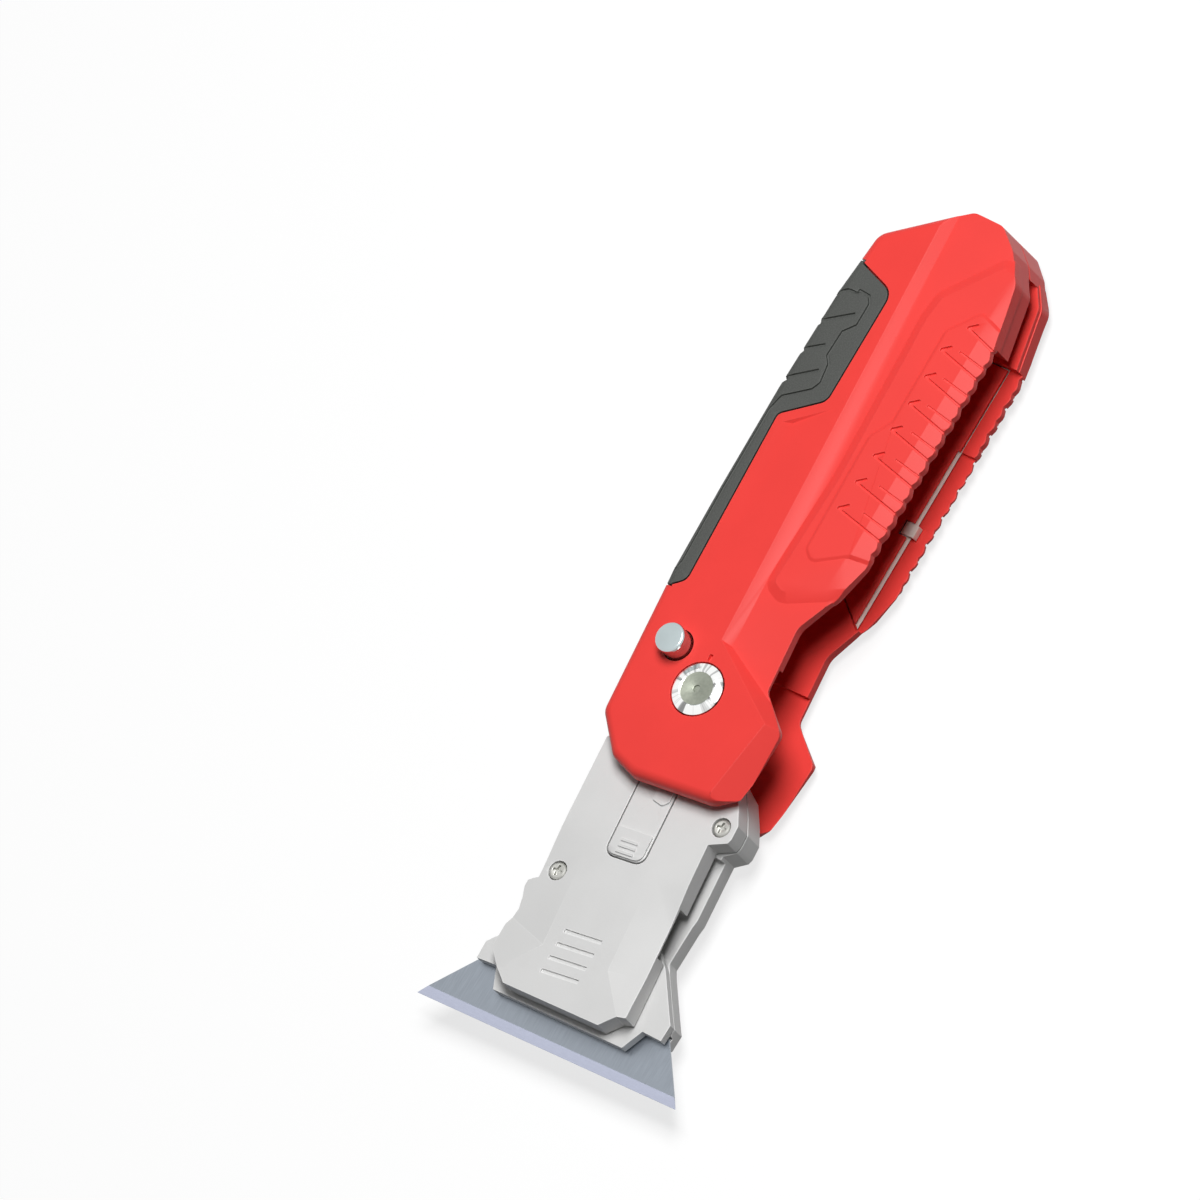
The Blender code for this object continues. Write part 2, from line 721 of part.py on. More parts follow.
def grip_space(name, clearance):
    """Room of the rubber inset: a flange on the face and one round the spine."""
    outside = SPINE_Y - 10 * MM
    face = rounded([
        (-84.6 * MM, outside, 0),
        (-84.4 * MM, -17.2 * MM, 0),
        (-81.3 * MM, -7.7 * MM, 2.8 * MM),
        (-58.3 * MM, -7.8 * MM, 2.4 * MM),
        (-52.5 * MM, -15.6 * MM, 1.8 * MM),
        (-17.6 * MM, -14.2 * MM, 2.2 * MM),
        (-15.6 * MM, -16.8 * MM, 0),
        (-15.4 * MM, outside, 0),
    ])
    side = spine_line(GRIP_DEEP)
    side = [(side[0][0], outside)] + side + [(side[-1][0], outside)]
    space = plate(name, grown(face, clearance), HANDLE_THICK - GRIP_DEEP - clearance, HANDLE_THICK + 4 * MM)
    edge = plate(name + "_side", grown(side, clearance), MIDDLE - 2 * MM, HANDLE_THICK + 3 * MM)
    return settle(join(space, edge))


def ribbon(name, line, wide, low, high):
    """Upright strip of an even width along a line of points."""
    left = []
    right = []
    for index, point in enumerate(line):
        here = Vector(point)
        back = (here - Vector(line[index - 1])).normalized() if index else None
        ahead = (Vector(line[index + 1]) - here).normalized() if index < len(line) - 1 else None
        back = back or ahead
        ahead = ahead or back
        side = Vector((-back.y - ahead.y, back.x + ahead.x)) / (1 + back.dot(ahead))
        left.append(tuple(here + side * wide / 2))
        right.append(tuple(here - side * wide / 2))
    return plate(name, left + right[::-1], low, high)


def grip_lines(name):
    """Fine grooves of the rubber: a border line and the cross grooves inside it."""
    off = SPINE_Y - 2 * MM
    border = mm(
        (-79.3, -14.0), (-79.1, -11.4), (-77.8, -10.4), (-73.2, -10.4), (-71.0, -12.4), (-66.0, -12.6),
        (-64.6, -11.4), (-60.8, -10.8), (-59.0, -11.7), (-55.6, -16.6), (-52.4, -17.5), (-36.0, -17.4),
        (-20.4, -16.9), (-18.6, -17.4),
    ) + [(-17.6 * MM, off)]
    crossings = (
        [(-76.2 * MM, off)] + mm((-77.6, -17.4), (-78.5, -16.0), (-78.8, -13.6)),
        [(-69.4 * MM, off)] + mm((-71.6, -17.3), (-75.0, -12.0)),
        [(-63.2 * MM, off)] + mm((-65.4, -17.6), (-67.6, -14.2)),
        [(-57.0 * MM, off)] + mm((-59.4, -17.6), (-62.8, -12.6)),
    )
    high = HANDLE_THICK + 1 * MM
    low = HANDLE_THICK - GRIP_LINE_DEEP
    lines = ribbon(name, border, GRIP_LINE_WIDE, low, high)
    for index, line in enumerate(crossings):
        join(lines, ribbon(f"{name}_{index}", line, GRIP_LINE_WIDE, low, high))
        end = Vector(line[0])
        ahead = Vector(line[1])
        foot = end.lerp(ahead, (SPINE_Y + 2 * GRIP_LINE_DEEP - end.y) / (ahead.y - end.y))
        join(lines, ribbon(
            f"{name}_side_{index}", [tuple(end), tuple(foot)], 2 * GRIP_LINE_WIDE, MIDDLE, high,
        ))
    return settle(lines)


def shell_blank(name):
    """Outer form of the front half, before anything is cut into it."""
    blank = plate(name, handle_outline(), MIDDLE + SEAM / 2, HANDLE_THICK)
    round_top(blank, HANDLE_THICK, EDGE_ROUND)
    cut(blank, above_slope(name + "_slope", 0), bump_facet())
    return settle(blank)


def build_shells():
    front = shell_blank("front_blank")
    grip = grip_space("grip", 0)
    combine(grip, front, "INTERSECT")
    settle(grip)
    cut(grip, grip_lines("grip_line"))
    settle(grip)
    pod = raised_panel("pod", pod_outline(), POD_RISE, POD_RISE + 0.1 * MM, POD_WALL, RIM_Z - 2.0 * MM)
    panel = raised_panel(
        "panel", panel_outline(), POD_RISE + PANEL_RISE, PANEL_RISE + 0.05 * MM, PANEL_WALL, RIM_Z - 1.5 * MM,
    )
    join(front, pod, panel)
    cut(front, chevrons("chevron"), half_lines("half_line"), ripples("ripple"))
    cut(front, face_recess(), grip_space("grip_seat", GAP))
    settle(front)
    rear = flip(copy_of(front, "rear_blank"))
    rear_grip = flip(copy_of(grip, "rear_grip_blank"))

    side = 60 * MM
    room = FLANGE_RADIUS + 2 * GAP
    channel = plate("channel", [
        (BUTT_BLOCK_X, SPINE_WALL_Y),
        (BUTTON_X - room, SPINE_WALL_Y),
        (BUTTON_X - room, BUTTON_Y - room),
        (SPINE_WALL_END, BUTTON_Y - room),
        (SPINE_WALL_END, -side),
        (side, -side),
        (side, side),
        (BUTT_BLOCK_X, side),
    ], CHANNEL_LOW, CHANNEL_HIGH)
    cheeks = plate("cheeks", [
        (BUTTON_X - room, BUTTON_Y - room),
        (SPINE_WALL_END, BUTTON_Y - room),
        (SPINE_WALL_END, -side),
        (side, -side),
        (side, side),
        (BUTTON_X - room, side),
    ], CHEEK_LOW, CHEEK_HIGH)
    blade_level = (BLADE_LOW + BLADE_HIGH) / 2
    slit = plate("slit", [
        (BUTT_BLOCK_X - 15.5 * MM, 2.5 * MM),
        (BUTT_BLOCK_X + 1 * MM, 2.5 * MM),
        (BUTT_BLOCK_X + 1 * MM, side),
        (BUTT_BLOCK_X - 15.5 * MM, side),
    ], blade_level - BLADE_SLIT / 2 + 0.6 * MM, blade_level + BLADE_SLIT / 2 + 0.6 * MM)
    bore = pillar("pivot_bore", (0, 0), SLEEVE_RADIUS + GAP, -1 * MM, HANDLE_THICK + 1 * MM)
    sink_low = HANDLE_THICK + PIVOT_PROUD - PIVOT_HEAD_THICK - GAP
    front_sink = pillar("front_sink", (0, 0), PIVOT_HEAD_RADIUS + GAP, sink_low, HANDLE_THICK + 2 * MM)
    rear_sink = pillar("rear_sink", (0, 0), PIVOT_HEAD_RADIUS + GAP, -1 * MM, PIVOT_HEAD_THICK + 2 * GAP)
    button_spot = (BUTTON_X, BUTTON_Y)
    button_hole = pillar("button_hole", button_spot, BUTTON_RADIUS + SMALL_FIT, MIDDLE, HANDLE_THICK + 1 * MM)
    well = pillar("spring_well", button_spot, PLUNGER_RADIUS + GAP, WELL_FLOOR, MIDDLE)
    cut(front, channel, cheeks, slit, bore, front_sink, button_hole, index_mark())
    cut(rear, channel, cheeks, slit, bore, rear_sink, well)
    for index, spot in enumerate(SHELL_SCREW_PLACES, 1):
        thread = pillar(
            f"screw_hole_{index}", spot, SHELL_SCREW_RADIUS + SMALL_FIT, -1 * MM,
            CHANNEL_HIGH + 2 * MM, SMALL_STEPS,
        )
        sink = pillar(
            f"screw_sink_{index}", spot, SHELL_SCREW_HEAD + SMALL_FIT, -1 * MM,
            SHELL_SCREW_SINK + SMALL_FIT, SMALL_STEPS,
        )
        cut(front, thread)
        cut(rear, thread, sink)
    cut(rear, build_store())
    keep(front, "front_shell", handle_axis, RED)
    keep(rear, "rear_shell", handle_axis, RED)
    keep(grip, "front_grip", handle_axis, RUBBER)
    keep(rear_grip, "rear_grip", handle_axis, RUBBER)


def blade_outline():
    """Trapezoid blade with its back on the Y axis and its edge towards X."""
    half = BLADE_LONG / 2
    back_half = half - BLADE_WIDE * tan(BLADE_SIDE)
    inner = NOTCH_PITCH / 2 - NOTCH_WIDE / 2
    outer = NOTCH_PITCH / 2 + NOTCH_WIDE / 2
    round_off = NOTCH_WIDE * 0.45
    return rounded([
        (BLADE_WIDE, -half, 0),
        (BLADE_WIDE, half, 0),
        (0, back_half, 0.5 * MM),
        (0, outer, 0),
        (NOTCH_DEEP, outer, round_off),
        (NOTCH_DEEP, inner, round_off),
        (0, inner, 0),
        (0, -inner, 0),
        (NOTCH_DEEP, -inner, round_off),
        (NOTCH_DEEP, -outer, round_off),
        (0, -outer, 0),
        (0, -back_half, 0.5 * MM),
    ])


def blade_solid(name):
    """Blade lying flat on the XY plane with its cutting edge ground from both faces."""
    body = plate(name, blade_outline(), 0, BLADE_THICK)
    grind = BLADE_THICK * 0.42
    far = BLADE_LONG
    for index, (start, end) in enumerate(((0, grind), (BLADE_THICK, BLADE_THICK - grind)), 1):
        beyond = start - (end - start)
        wedge = plate(f"{name}_grind_{index}", [
            (BLADE_WIDE - BEVEL_WIDE, start),
            (BLADE_WIDE - BEVEL_WIDE, beyond),
            (BLADE_WIDE + BEVEL_WIDE, beyond),
            (BLADE_WIDE + BEVEL_WIDE, end + (end - start)),
        ], -far, far)
        wedge.data.transform(Matrix.Rotation(pi / 2, 4, "X"))
        cut(body, wedge)
    for index, side in enumerate((-1, 1), 1):
        middle = side * NOTCH_PITCH / 2
        hole = plate(f"{name}_hole_{index}", rounded([
            (HOLE_PLACE - HOLE_LONG / 2, middle - HOLE_WIDE / 2, 0.3 * MM),
            (HOLE_PLACE - HOLE_LONG / 2, middle + HOLE_WIDE / 2, 0.3 * MM),
            (HOLE_PLACE + HOLE_LONG / 2, middle + HOLE_WIDE / 2, HOLE_WIDE * 0.45),
            (HOLE_PLACE + HOLE_LONG / 2, middle - HOLE_WIDE / 2, HOLE_WIDE * 0.45),
        ]), -1 * MM, BLADE_THICK + 1 * MM)
        cut(body, hole)
    return settle(body)


def build_store():
    """A spare blade in a pocket of the rear shell, under a cover and a spring clip."""
    middle = STORE_END_X - BLADE_LONG / 2
    back = STORE_EDGE_Y - BLADE_WIDE
    low = CHANNEL_LOW - BLADE_THICK - GAP
    floor = low - GAP
    half = BLADE_LONG / 2
    back_half = half - BLADE_WIDE * tan(BLADE_SIDE)
    spare = blade_solid("spare")
    spare.data.transform(Matrix.Rotation(pi / 2, 4, "Z"))
    spare.location = (middle, back, low)
    keep(spare, "spare_blade", handle_axis, STEEL)
    pocket = plate("store_pocket", grown([
        (middle - half, STORE_EDGE_Y),
        (middle - back_half, back),
        (middle + back_half, back),
        (middle + half, STORE_EDGE_Y),
    ], GAP), floor, CHANNEL_LOW)
    lid_low = low + BLADE_THICK + SMALL_FIT
    lid_high = HEAD_LOW - GAP
    lid_y = STORE_EDGE_Y - STORE_SHOWS
    inset = STORE_SHOWS * tan(pi / 2 - BLADE_SIDE)
    clip_half = CLIP_WIDE / 2
    lid = plate("store_lid", [
        (STORE_COVERED_X, lid_y),
        (STORE_COVERED_X, STORE_EDGE_Y + GAP - SMALL_FIT),
        (BUTT_BLOCK_X + GAP, STORE_EDGE_Y + GAP - SMALL_FIT),
        (BUTT_BLOCK_X + GAP, lid_y - 3 * MM),
        (middle - back_half, back),
        (middle + back_half, back),
        (middle + half - inset, lid_y),
        (CLIP_X + clip_half + GAP, lid_y),
        (CLIP_X + clip_half + GAP, lid_y - 2 * MM),
        (CLIP_X - clip_half - GAP, lid_y - 2 * MM),
        (CLIP_X - clip_half - GAP, lid_y),
    ], lid_low, lid_high)
    keep(lid, "store_cover", handle_axis, RED)
    top = lid_low + SMALL_FIT
    seat_y = STORE_EDGE_Y + 2 * GAP
    clip = bar("clip", [
        (seat_y, top),
        (seat_y, floor + GAP),
        (seat_y + CLIP_THICK, floor + GAP),
        (seat_y + CLIP_THICK, top + CLIP_THICK),
        (lid_y - 1.4 * MM, top + CLIP_THICK),
        (lid_y - 1.4 * MM, top),
    ], CLIP_X - clip_half, CLIP_X + clip_half)
    seat = bar("clip_seat", [
        (STORE_EDGE_Y, floor),
        (seat_y + CLIP_THICK + GAP, floor),
        (seat_y + CLIP_THICK + GAP, CHANNEL_LOW + 1 * MM),
        (STORE_EDGE_Y, CHANNEL_LOW + 1 * MM),
    ], CLIP_X - clip_half - GAP, CLIP_X + clip_half + GAP)
    keep(clip, "store_clip", handle_axis, STEEL)
    bare = bar("store_bare_edge", [
        (STORE_EDGE_Y, low - 0.1 * MM),
        (BELLY_Y + 3 * MM, low - 0.1 * MM),
        (BELLY_Y + 3 * MM, CHANNEL_LOW + 1 * MM),
        (STORE_EDGE_Y, CHANNEL_LOW + 1 * MM),
    ], STORE_COVERED_X, STORE_END_X + GAP)
    return settle(join(pocket, seat, bare))


def build_pivot():
    top = HANDLE_THICK + PIVOT_PROUD
    under = top - PIVOT_HEAD_THICK
    radius = PIVOT_HEAD_RADIUS
    disc = PIVOT_DISC_RADIUS
    shank = SLEEVE_RADIUS - SLEEVE_WALL - GAP
    bolt = turned("bolt", [
        (0, top - 0.5 * MM),
        (0.7 * MM, top - 0.5 * MM),
        (0.7 * MM, top - 0.2 * MM),
        (disc - 0.3 * MM, top - 0.2 * MM),
        (disc, top),
        (disc + 0.4 * MM, top),
        (radius, top - 0.7 * MM),
        (radius, under),
        (shank, under),
        (shank, PIVOT_HEAD_THICK + 2 * MM),
        (0, PIVOT_HEAD_THICK + 2 * MM),
    ], (0, 0), 32)
    keep(bolt, "pivot_bolt", handle_axis, BRIGHT)
    nut = turned("nut", [
        (0, PIVOT_HEAD_THICK + GAP),
        (SLEEVE_RADIUS - SLEEVE_WALL, PIVOT_HEAD_THICK + GAP),
        (SLEEVE_RADIUS - SLEEVE_WALL, under - 2 * GAP),
        (SLEEVE_RADIUS, under - 2 * GAP),
        (SLEEVE_RADIUS, PIVOT_HEAD_THICK + GAP),
        (radius, PIVOT_HEAD_THICK + GAP),
        (radius, GAP),
        (0, GAP),
    ], (0, 0))
    keep(nut, "pivot_nut", handle_axis, BRIGHT)
    for name, middle in (
        ("front_washer", (CHEEK_HIGH + HEAD_HIGH) / 2),
        ("rear_washer", (CHEEK_LOW + HEAD_LOW) / 2),
    ):
        high = middle + WASHER_THICK / 2
        low = middle - WASHER_THICK / 2
        inner = SLEEVE_RADIUS + GAP
        washer = turned(name, [
            (WASHER_RADIUS, high), (WASHER_RADIUS, low), (inner, low), (inner, high),
        ], (0, 0), ring=True)
        keep(washer, name, handle_axis, BRASS)


def build_lock():
    spot = (BUTTON_X, BUTTON_Y)
    cap_low = CHEEK_HIGH + GAP
    neck = BUTTON_RADIUS - 0.12 * MM
    lip = BUTTON_TOP - 1.3 * MM
    button = turned("button", [
        (0, BUTTON_TOP),
        (BUTTON_RADIUS - 0.9 * MM, BUTTON_TOP - 0.1 * MM),
        (BUTTON_RADIUS - 0.25 * MM, BUTTON_TOP - 0.35 * MM),
        (BUTTON_RADIUS, BUTTON_TOP - 0.75 * MM),
        (BUTTON_RADIUS, lip),
        (neck, lip - 0.12 * MM),
        (neck, cap_low),
        (0, cap_low),
    ], spot)
    keep(button, "lock_button", handle_axis, BRIGHT)
    flange_high = CHEEK_HIGH - GAP
    low = WELL_FLOOR + BUTTON_TRAVEL + 1.6 * MM
    plunger = turned("plunger", [
        (0, flange_high),
        (FLANGE_RADIUS, flange_high),
        (FLANGE_RADIUS, flange_high - FLANGE_THICK),
        (PLUNGER_RADIUS, flange_high - FLANGE_THICK),
        (PLUNGER_RADIUS, low),
        (0, low),
    ], spot)
    keep(plunger, "lock_plunger", handle_axis, STEEL)
    foot = WELL_FLOOR + SMALL_FIT
    spring = coil("lock_coil", LOCK_COIL_RADIUS, LOCK_WIRE, low - SMALL_FIT - foot, 3)
    spring.location = (BUTTON_X, BUTTON_Y, foot)
    keep(spring, "lock_spring", handle_axis, STEEL)


def cross_recess(name, spot, top, size, deep):
    """Cross-shaped recess for a screwdriver."""
    arm = size * 0.28
    tip = size * 0.22
    outline = [
        (tip, -size), (arm, -arm), (size, -tip), (size, tip), (arm, arm), (tip, size),
        (-tip, size), (-arm, arm), (-size, tip), (-size, -tip), (-arm, -arm), (-tip, -size),
    ]
    recess = plate(name, outline, top - deep, top + 1 * MM)
    recess.location = (spot[0], spot[1], 0)
    return recess


def build_shell_screws():
    for index, spot in enumerate(SHELL_SCREW_PLACES, 1):
        name = f"shell_screw_{index}"
        face = SHELL_SCREW_SINK - 1.5 * MM
        screw = turned(name, [
            (0, CHANNEL_HIGH + 1.5 * MM),
            (SHELL_SCREW_RADIUS, CHANNEL_HIGH + 1.5 * MM),
            (SHELL_SCREW_RADIUS, SHELL_SCREW_SINK),
            (SHELL_SCREW_HEAD, SHELL_SCREW_SINK),
            (SHELL_SCREW_HEAD, face),
            (0, face),
        ], spot, SMALL_STEPS)
        recess = cross_recess(name + "_cross", spot, face + 0.7 * MM, SHELL_SCREW_HEAD * 0.55, 2 * MM)
        cut(screw, recess)
        keep(screw, name, handle_axis, STEEL)


def shoulder_points(proud):
    """Right-hand side of the head from its shoulder up to the tang."""
    near = [(24.3 * MM, 15.75 * MM + proud)]
    return near + mm((22.6, 19.25), (21.6, 19.55), (18.9, 19.35), (15.8, 17.45), (11.9, 14.5), (9.5, 10.5))


def tang_points():
    """Round end of the tang, from the belly side to the spine side."""
    points = [(HEAD_START_X, BOSS_RADIUS)]
    for step in range(13):
        angle = pi / 2 + pi * step / 12
        points.append((BOSS_RADIUS * cos(angle), BOSS_RADIUS * sin(angle)))
    points.append((HEAD_START_X, -BOSS_RADIUS))
    return points


def left_edge():
    return [(HEAD_START_X, -11.0 * MM), (13.8 * MM, -15.05 * MM)]


def cover_outline():
    corner = mm(
        (42.4, -12.75), (43.0, -13.75), (43.7, -14.55), (45.0, -14.55), (47.1, -13.65), (49.3, -13.05),
        (51.2, -13.25), (52.8, -13.85), (57.8, -13.65), (60.8, -10.25),
    )
    end = [
        (HEAD_END_X, -7.25 * MM),
        (HEAD_END_X - 0.1 * MM, 15.05 * MM),
        (HEAD_END_X - 2.9 * MM, 17.55 * MM),
        (HEAD_END_X - 3.4 * MM, 19.45 * MM),
    ]
    return left_edge() + corner + end + shoulder_points(0) + tang_points()


def wing_side(side):
    """Outer line of one wing, from its root to its foot, in the blade's own plan."""
    slant = tan(BLADE_SIDE)
    half = BLADE_LONG / 2

    def at(x, margin):
        return half - (BLADE_EDGE_X - x) * slant + margin

    root = 47.6 * MM
    tip = 56.4 * MM
    line = [
        (root, at(root, WING_MARGIN)),
        (tip - 1.2 * MM, at(tip - 1.2 * MM, WING_MARGIN)),
        (tip + 0.2 * MM, at(tip, WING_MARGIN) + 0.2 * MM),
        (tip + 3.6 * MM, at(tip, WING_MARGIN) + 0.1 * MM),
        (tip + 3.4 * MM, at(tip, WING_MARGIN) - 4.4 * MM),
    ]
    return [(x, BLADE_MIDDLE_Y + side * y) for x, y in line]


def frame_outline():
    edge = shoulder_points(LEDGE_PROUD)
    low_right = [
        (HEAD_END_X - 0.4 * MM, BLADE_MIDDLE_Y - 12.0 * MM),
        (HEAD_END_X - 0.4 * MM, BLADE_MIDDLE_Y + 12.0 * MM),
    ]
    right_wing = list(reversed(wing_side(1)))
    right_edge = [(46.0 * MM, 17.65 * MM), (38.2 * MM, 17.85 * MM), (36.6 * MM, 18.05 * MM)]
    left_wing = [(50.0 * MM, -13.15 * MM)] + wing_side(-1)[1:]
    return (
        left_edge() + mm((42.4, -12.75)) + left_wing + low_right
        + right_wing + right_edge + edge + tang_points()
    )


def holder_outline():
    foot = HEAD_END_X + HOLDER_LEDGE
    end = [
        (foot, BLADE_MIDDLE_Y - 15.2 * MM),
        (foot, BLADE_MIDDLE_Y + 15.2 * MM),
    ]
    right = list(reversed(wing_side(1)))
    top = [
        (45.0 * MM, BLADE_MIDDLE_Y + 11.8 * MM),
        (45.0 * MM, BLADE_MIDDLE_Y - 11.8 * MM),
    ]
    left = [(48.8 * MM, BLADE_MIDDLE_Y - 14.6 * MM)] + wing_side(-1)[1:]
    return left + end + right + top


def build_head():
    bore = pillar("tang_bore", (0, 0), SLEEVE_RADIUS + GAP, HEAD_LOW - 1 * MM, HEAD_HIGH + 1 * MM)

    frame = plate("frame", frame_outline(), HEAD_LOW, COVER_LOW - GAP)
    open_side = 40 * MM
    side_slot = plate("side_slot", [
        (25.0 * MM, -10.15 * MM),
        (35.8 * MM, -10.15 * MM),
        (37.0 * MM, -6.15 * MM),
        (43.8 * MM, -6.15 * MM),
        (43.8 * MM, -10.15 * MM),
        (46.4 * MM, -open_side),
        (90.0 * MM, -open_side),
        (90.0 * MM, open_side),
        (25.0 * MM, open_side),
    ], FRAME_HIGH, HEAD_HIGH)
    wall = tan(BLADE_SIDE)
    reach = 40 * MM
    half = BLADE_LONG / 2 - BLADE_WIDE * wall + GAP
    pocket = plate("blade_pocket", [
        (BLADE_BACK_X - GAP, BLADE_MIDDLE_Y - half),
        (BLADE_BACK_X + reach, BLADE_MIDDLE_Y - half - reach * wall),
        (BLADE_BACK_X + reach, BLADE_MIDDLE_Y + half + reach * wall),
        (BLADE_BACK_X - GAP, BLADE_MIDDLE_Y + half),
    ], POCKET_FLOOR, HEAD_HIGH)
    cut(frame, side_slot, pocket, bore)

    cover = plate("cover", cover_outline(), COVER_LOW, HEAD_HIGH)
    slot_half = SLIDER_WIDE / 2 + GAP
    slot_start = SLIDER_START_X - SLIDER_TRAVEL - 2.6 * MM
    slot_end = SLIDER_END_X + GAP
    slot = plate("slider_slot", rounded([
        (*along_head(slot_start, -slot_half), 0),
        (*along_head(slot_end, -slot_half), SLIDER_ROUND + GAP),
        (*along_head(slot_end, slot_half), SLIDER_ROUND + GAP),
        (*along_head(slot_start, slot_half), 0),
    ]), COVER_LOW - 1 * MM, HEAD_HIGH + 1 * MM)
    foot_room = head_box(
        "foot_room", SLIDER_START_X - SLIDER_TRAVEL - GAP, CAVITY_X + 1 * MM,
        SLIDER_FOOT_WIDE / 2 + GAP, COVER_LOW - 1 * MM, TONGUE_HIGH + GAP,
    )
    cavity = plate("cavity", [
        (CAVITY_X, -5.15 * MM),
        (44.0 * MM, -5.15 * MM),
        (44.6 * MM, -9.55 * MM),
        (57.4 * MM, -9.55 * MM),
        (HEAD_END_X - WALL, -5.55 * MM),
        (HEAD_END_X - WALL, 14.05 * MM),
        (47.0 * MM, 14.85 * MM),
        (46.4 * MM, open_side),
        (38.8 * MM, open_side),
        (CAVITY_X - 1.4 * MM, 15.45 * MM),
        (CAVITY_X - 1.4 * MM, 7.45 * MM),
        (CAVITY_X, 7.45 * MM),
    ], COVER_LOW - 1 * MM, HEAD_HIGH - COVER_SKIN)
    cut(cover, slot, foot_room, cavity, bore)
    for index in range(4):
        x = 48.9 * MM + GROOVE_PITCH * index
        groove = plate(f"groove_{index}", [
            (x + 0.4 * MM, -1.55 * MM),
            (x + 0.4 * MM + GROOVE_WIDE, -1.55 * MM),
            (x - 0.4 * MM + GROOVE_WIDE, 6.65 * MM),
            (x - 0.4 * MM, 6.65 * MM),
        ], HEAD_HIGH - GROOVE_DEEP, HEAD_HIGH + 1 * MM)
        cut(cover, groove)
    cut(cover, facet("facet_left", -1), facet("facet_right", 1))

    holder = plate("holder", holder_outline(), HOLDER_LOW, HOLDER_HIGH)
    for index, side in enumerate((-1, 1), 1):
        y = BLADE_MIDDLE_Y + side * NOTCH_PITCH / 2
        half_wide = LATCH_RADIUS + GAP
        way = plate(f"latch_way_{index}", [
            (LATCH_X - SLIDER_TRAVEL - half_wide, y - 1.6 * half_wide),
            (LATCH_X + half_wide, y - half_wide),
            (LATCH_X + half_wide, y + half_wide),
            (LATCH_X - SLIDER_TRAVEL - half_wide, y + 1.6 * half_wide),
        ], HOLDER_LOW - 1 * MM, HOLDER_HIGH + 1 * MM)
        cut(holder, way)
        pin_low = HEAD_LOW + 1.0 * MM
        pin = pillar(f"pin_{index}", (PIN_X, y), PIN_RADIUS, pin_low, HOLDER_LOW - SMALL_FIT, SMALL_STEPS)
        seat = pillar(
            f"pin_seat_{index}", (PIN_X, y), PIN_RADIUS + SMALL_FIT, pin_low - SMALL_FIT,
            HEAD_HIGH, SMALL_STEPS,
        )
        cut(frame, seat)
        keep(pin, f"locating_pin_{index}", head_axis, STEEL)

    for name, spot, fall in (
        ("head_screw_left", LEFT_SCREW, 0.19 * FACET_DROP),
        ("head_screw_right", RIGHT_SCREW, 0),
    ):
        top = HEAD_HIGH - 0.1 * MM - fall
        under = top - HEAD_SCREW_DEEP
        low = HEAD_LOW + 1.6 * MM
        sink = turned(name + "_sink", [
            (0, HEAD_HIGH + 1 * MM),
            (HEAD_SCREW_RADIUS + SMALL_FIT, HEAD_HIGH + 1 * MM),
            (HEAD_SCREW_RADIUS + SMALL_FIT, under - SMALL_FIT),
            (HEAD_SCREW_SHANK + SMALL_FIT, under - SMALL_FIT),
            (HEAD_SCREW_SHANK + SMALL_FIT, low - SMALL_FIT),
            (0, low - SMALL_FIT),
        ], spot, 16)
        cut(cover, sink)
        cut(frame, sink)
        screw = turned(name, [
            (0, top),
            (HEAD_SCREW_RADIUS - 0.4 * MM, top),
            (HEAD_SCREW_RADIUS, top - 0.3 * MM),
            (HEAD_SCREW_RADIUS, under),
            (HEAD_SCREW_SHANK, under),
            (HEAD_SCREW_SHANK, low),
            (0, low),
        ], spot, 16)
        cut(screw, cross_recess(name + "_cross", spot, top, HEAD_SCREW_RADIUS * 0.6, 0.7 * MM))
        keep(screw, name, head_axis, STEEL)

    keep(frame, "head_frame", head_axis, CAST)
    keep(cover, "head_cover", head_axis, CAST)
    keep(holder, "blade_holder", head_axis, CAST)


def facet(name, side):
    """Space above the slopes from a crease on the cover's face, which runs out towards the handle."""
    if side < 0:
        plan = mm((33.6, -6.3), (53.6, -4.0), (62.4, -11.0), (60.0, -20.0))
        outer = -18.0 * MM
    else:
        plan = mm((33.3, 8.9), (53.1, 11.0), (62.5, 20.0), (58.0, 28.0))
        outer = 26.0 * MM
    falls = [0, 0, 0, FACET_DROP * 0.6]
    for step in range(FACET_STEPS + 1):
        share = 1 - step / FACET_STEPS
        plan.append(((28 + 22 * share) * MM, outer))
        falls.append(FACET_DROP * share * share * (3 - 2 * share))
    shape = bmesh.new()
    low = [shape.verts.new((x, y, HEAD_HIGH - fall)) for (x, y), fall in zip(plan, falls)]
    high = [shape.verts.new((x, y, HEAD_HIGH + 5 * MM)) for x, y in plan]
    triangles = [(0, 1, 4), (1, 2, 3), (1, 3, 4)]
    triangles += [(0, index, index + 1) for index in range(4, len(plan) - 1)]
    for corners in triangles:
        shape.faces.new([low[index] for index in corners])
    shape.faces.new(high)
    for index in range(len(plan)):
        shape.faces.new((low[index - 1], low[index], high[index], high[index - 1]))
    return cutter_from(shape, name)


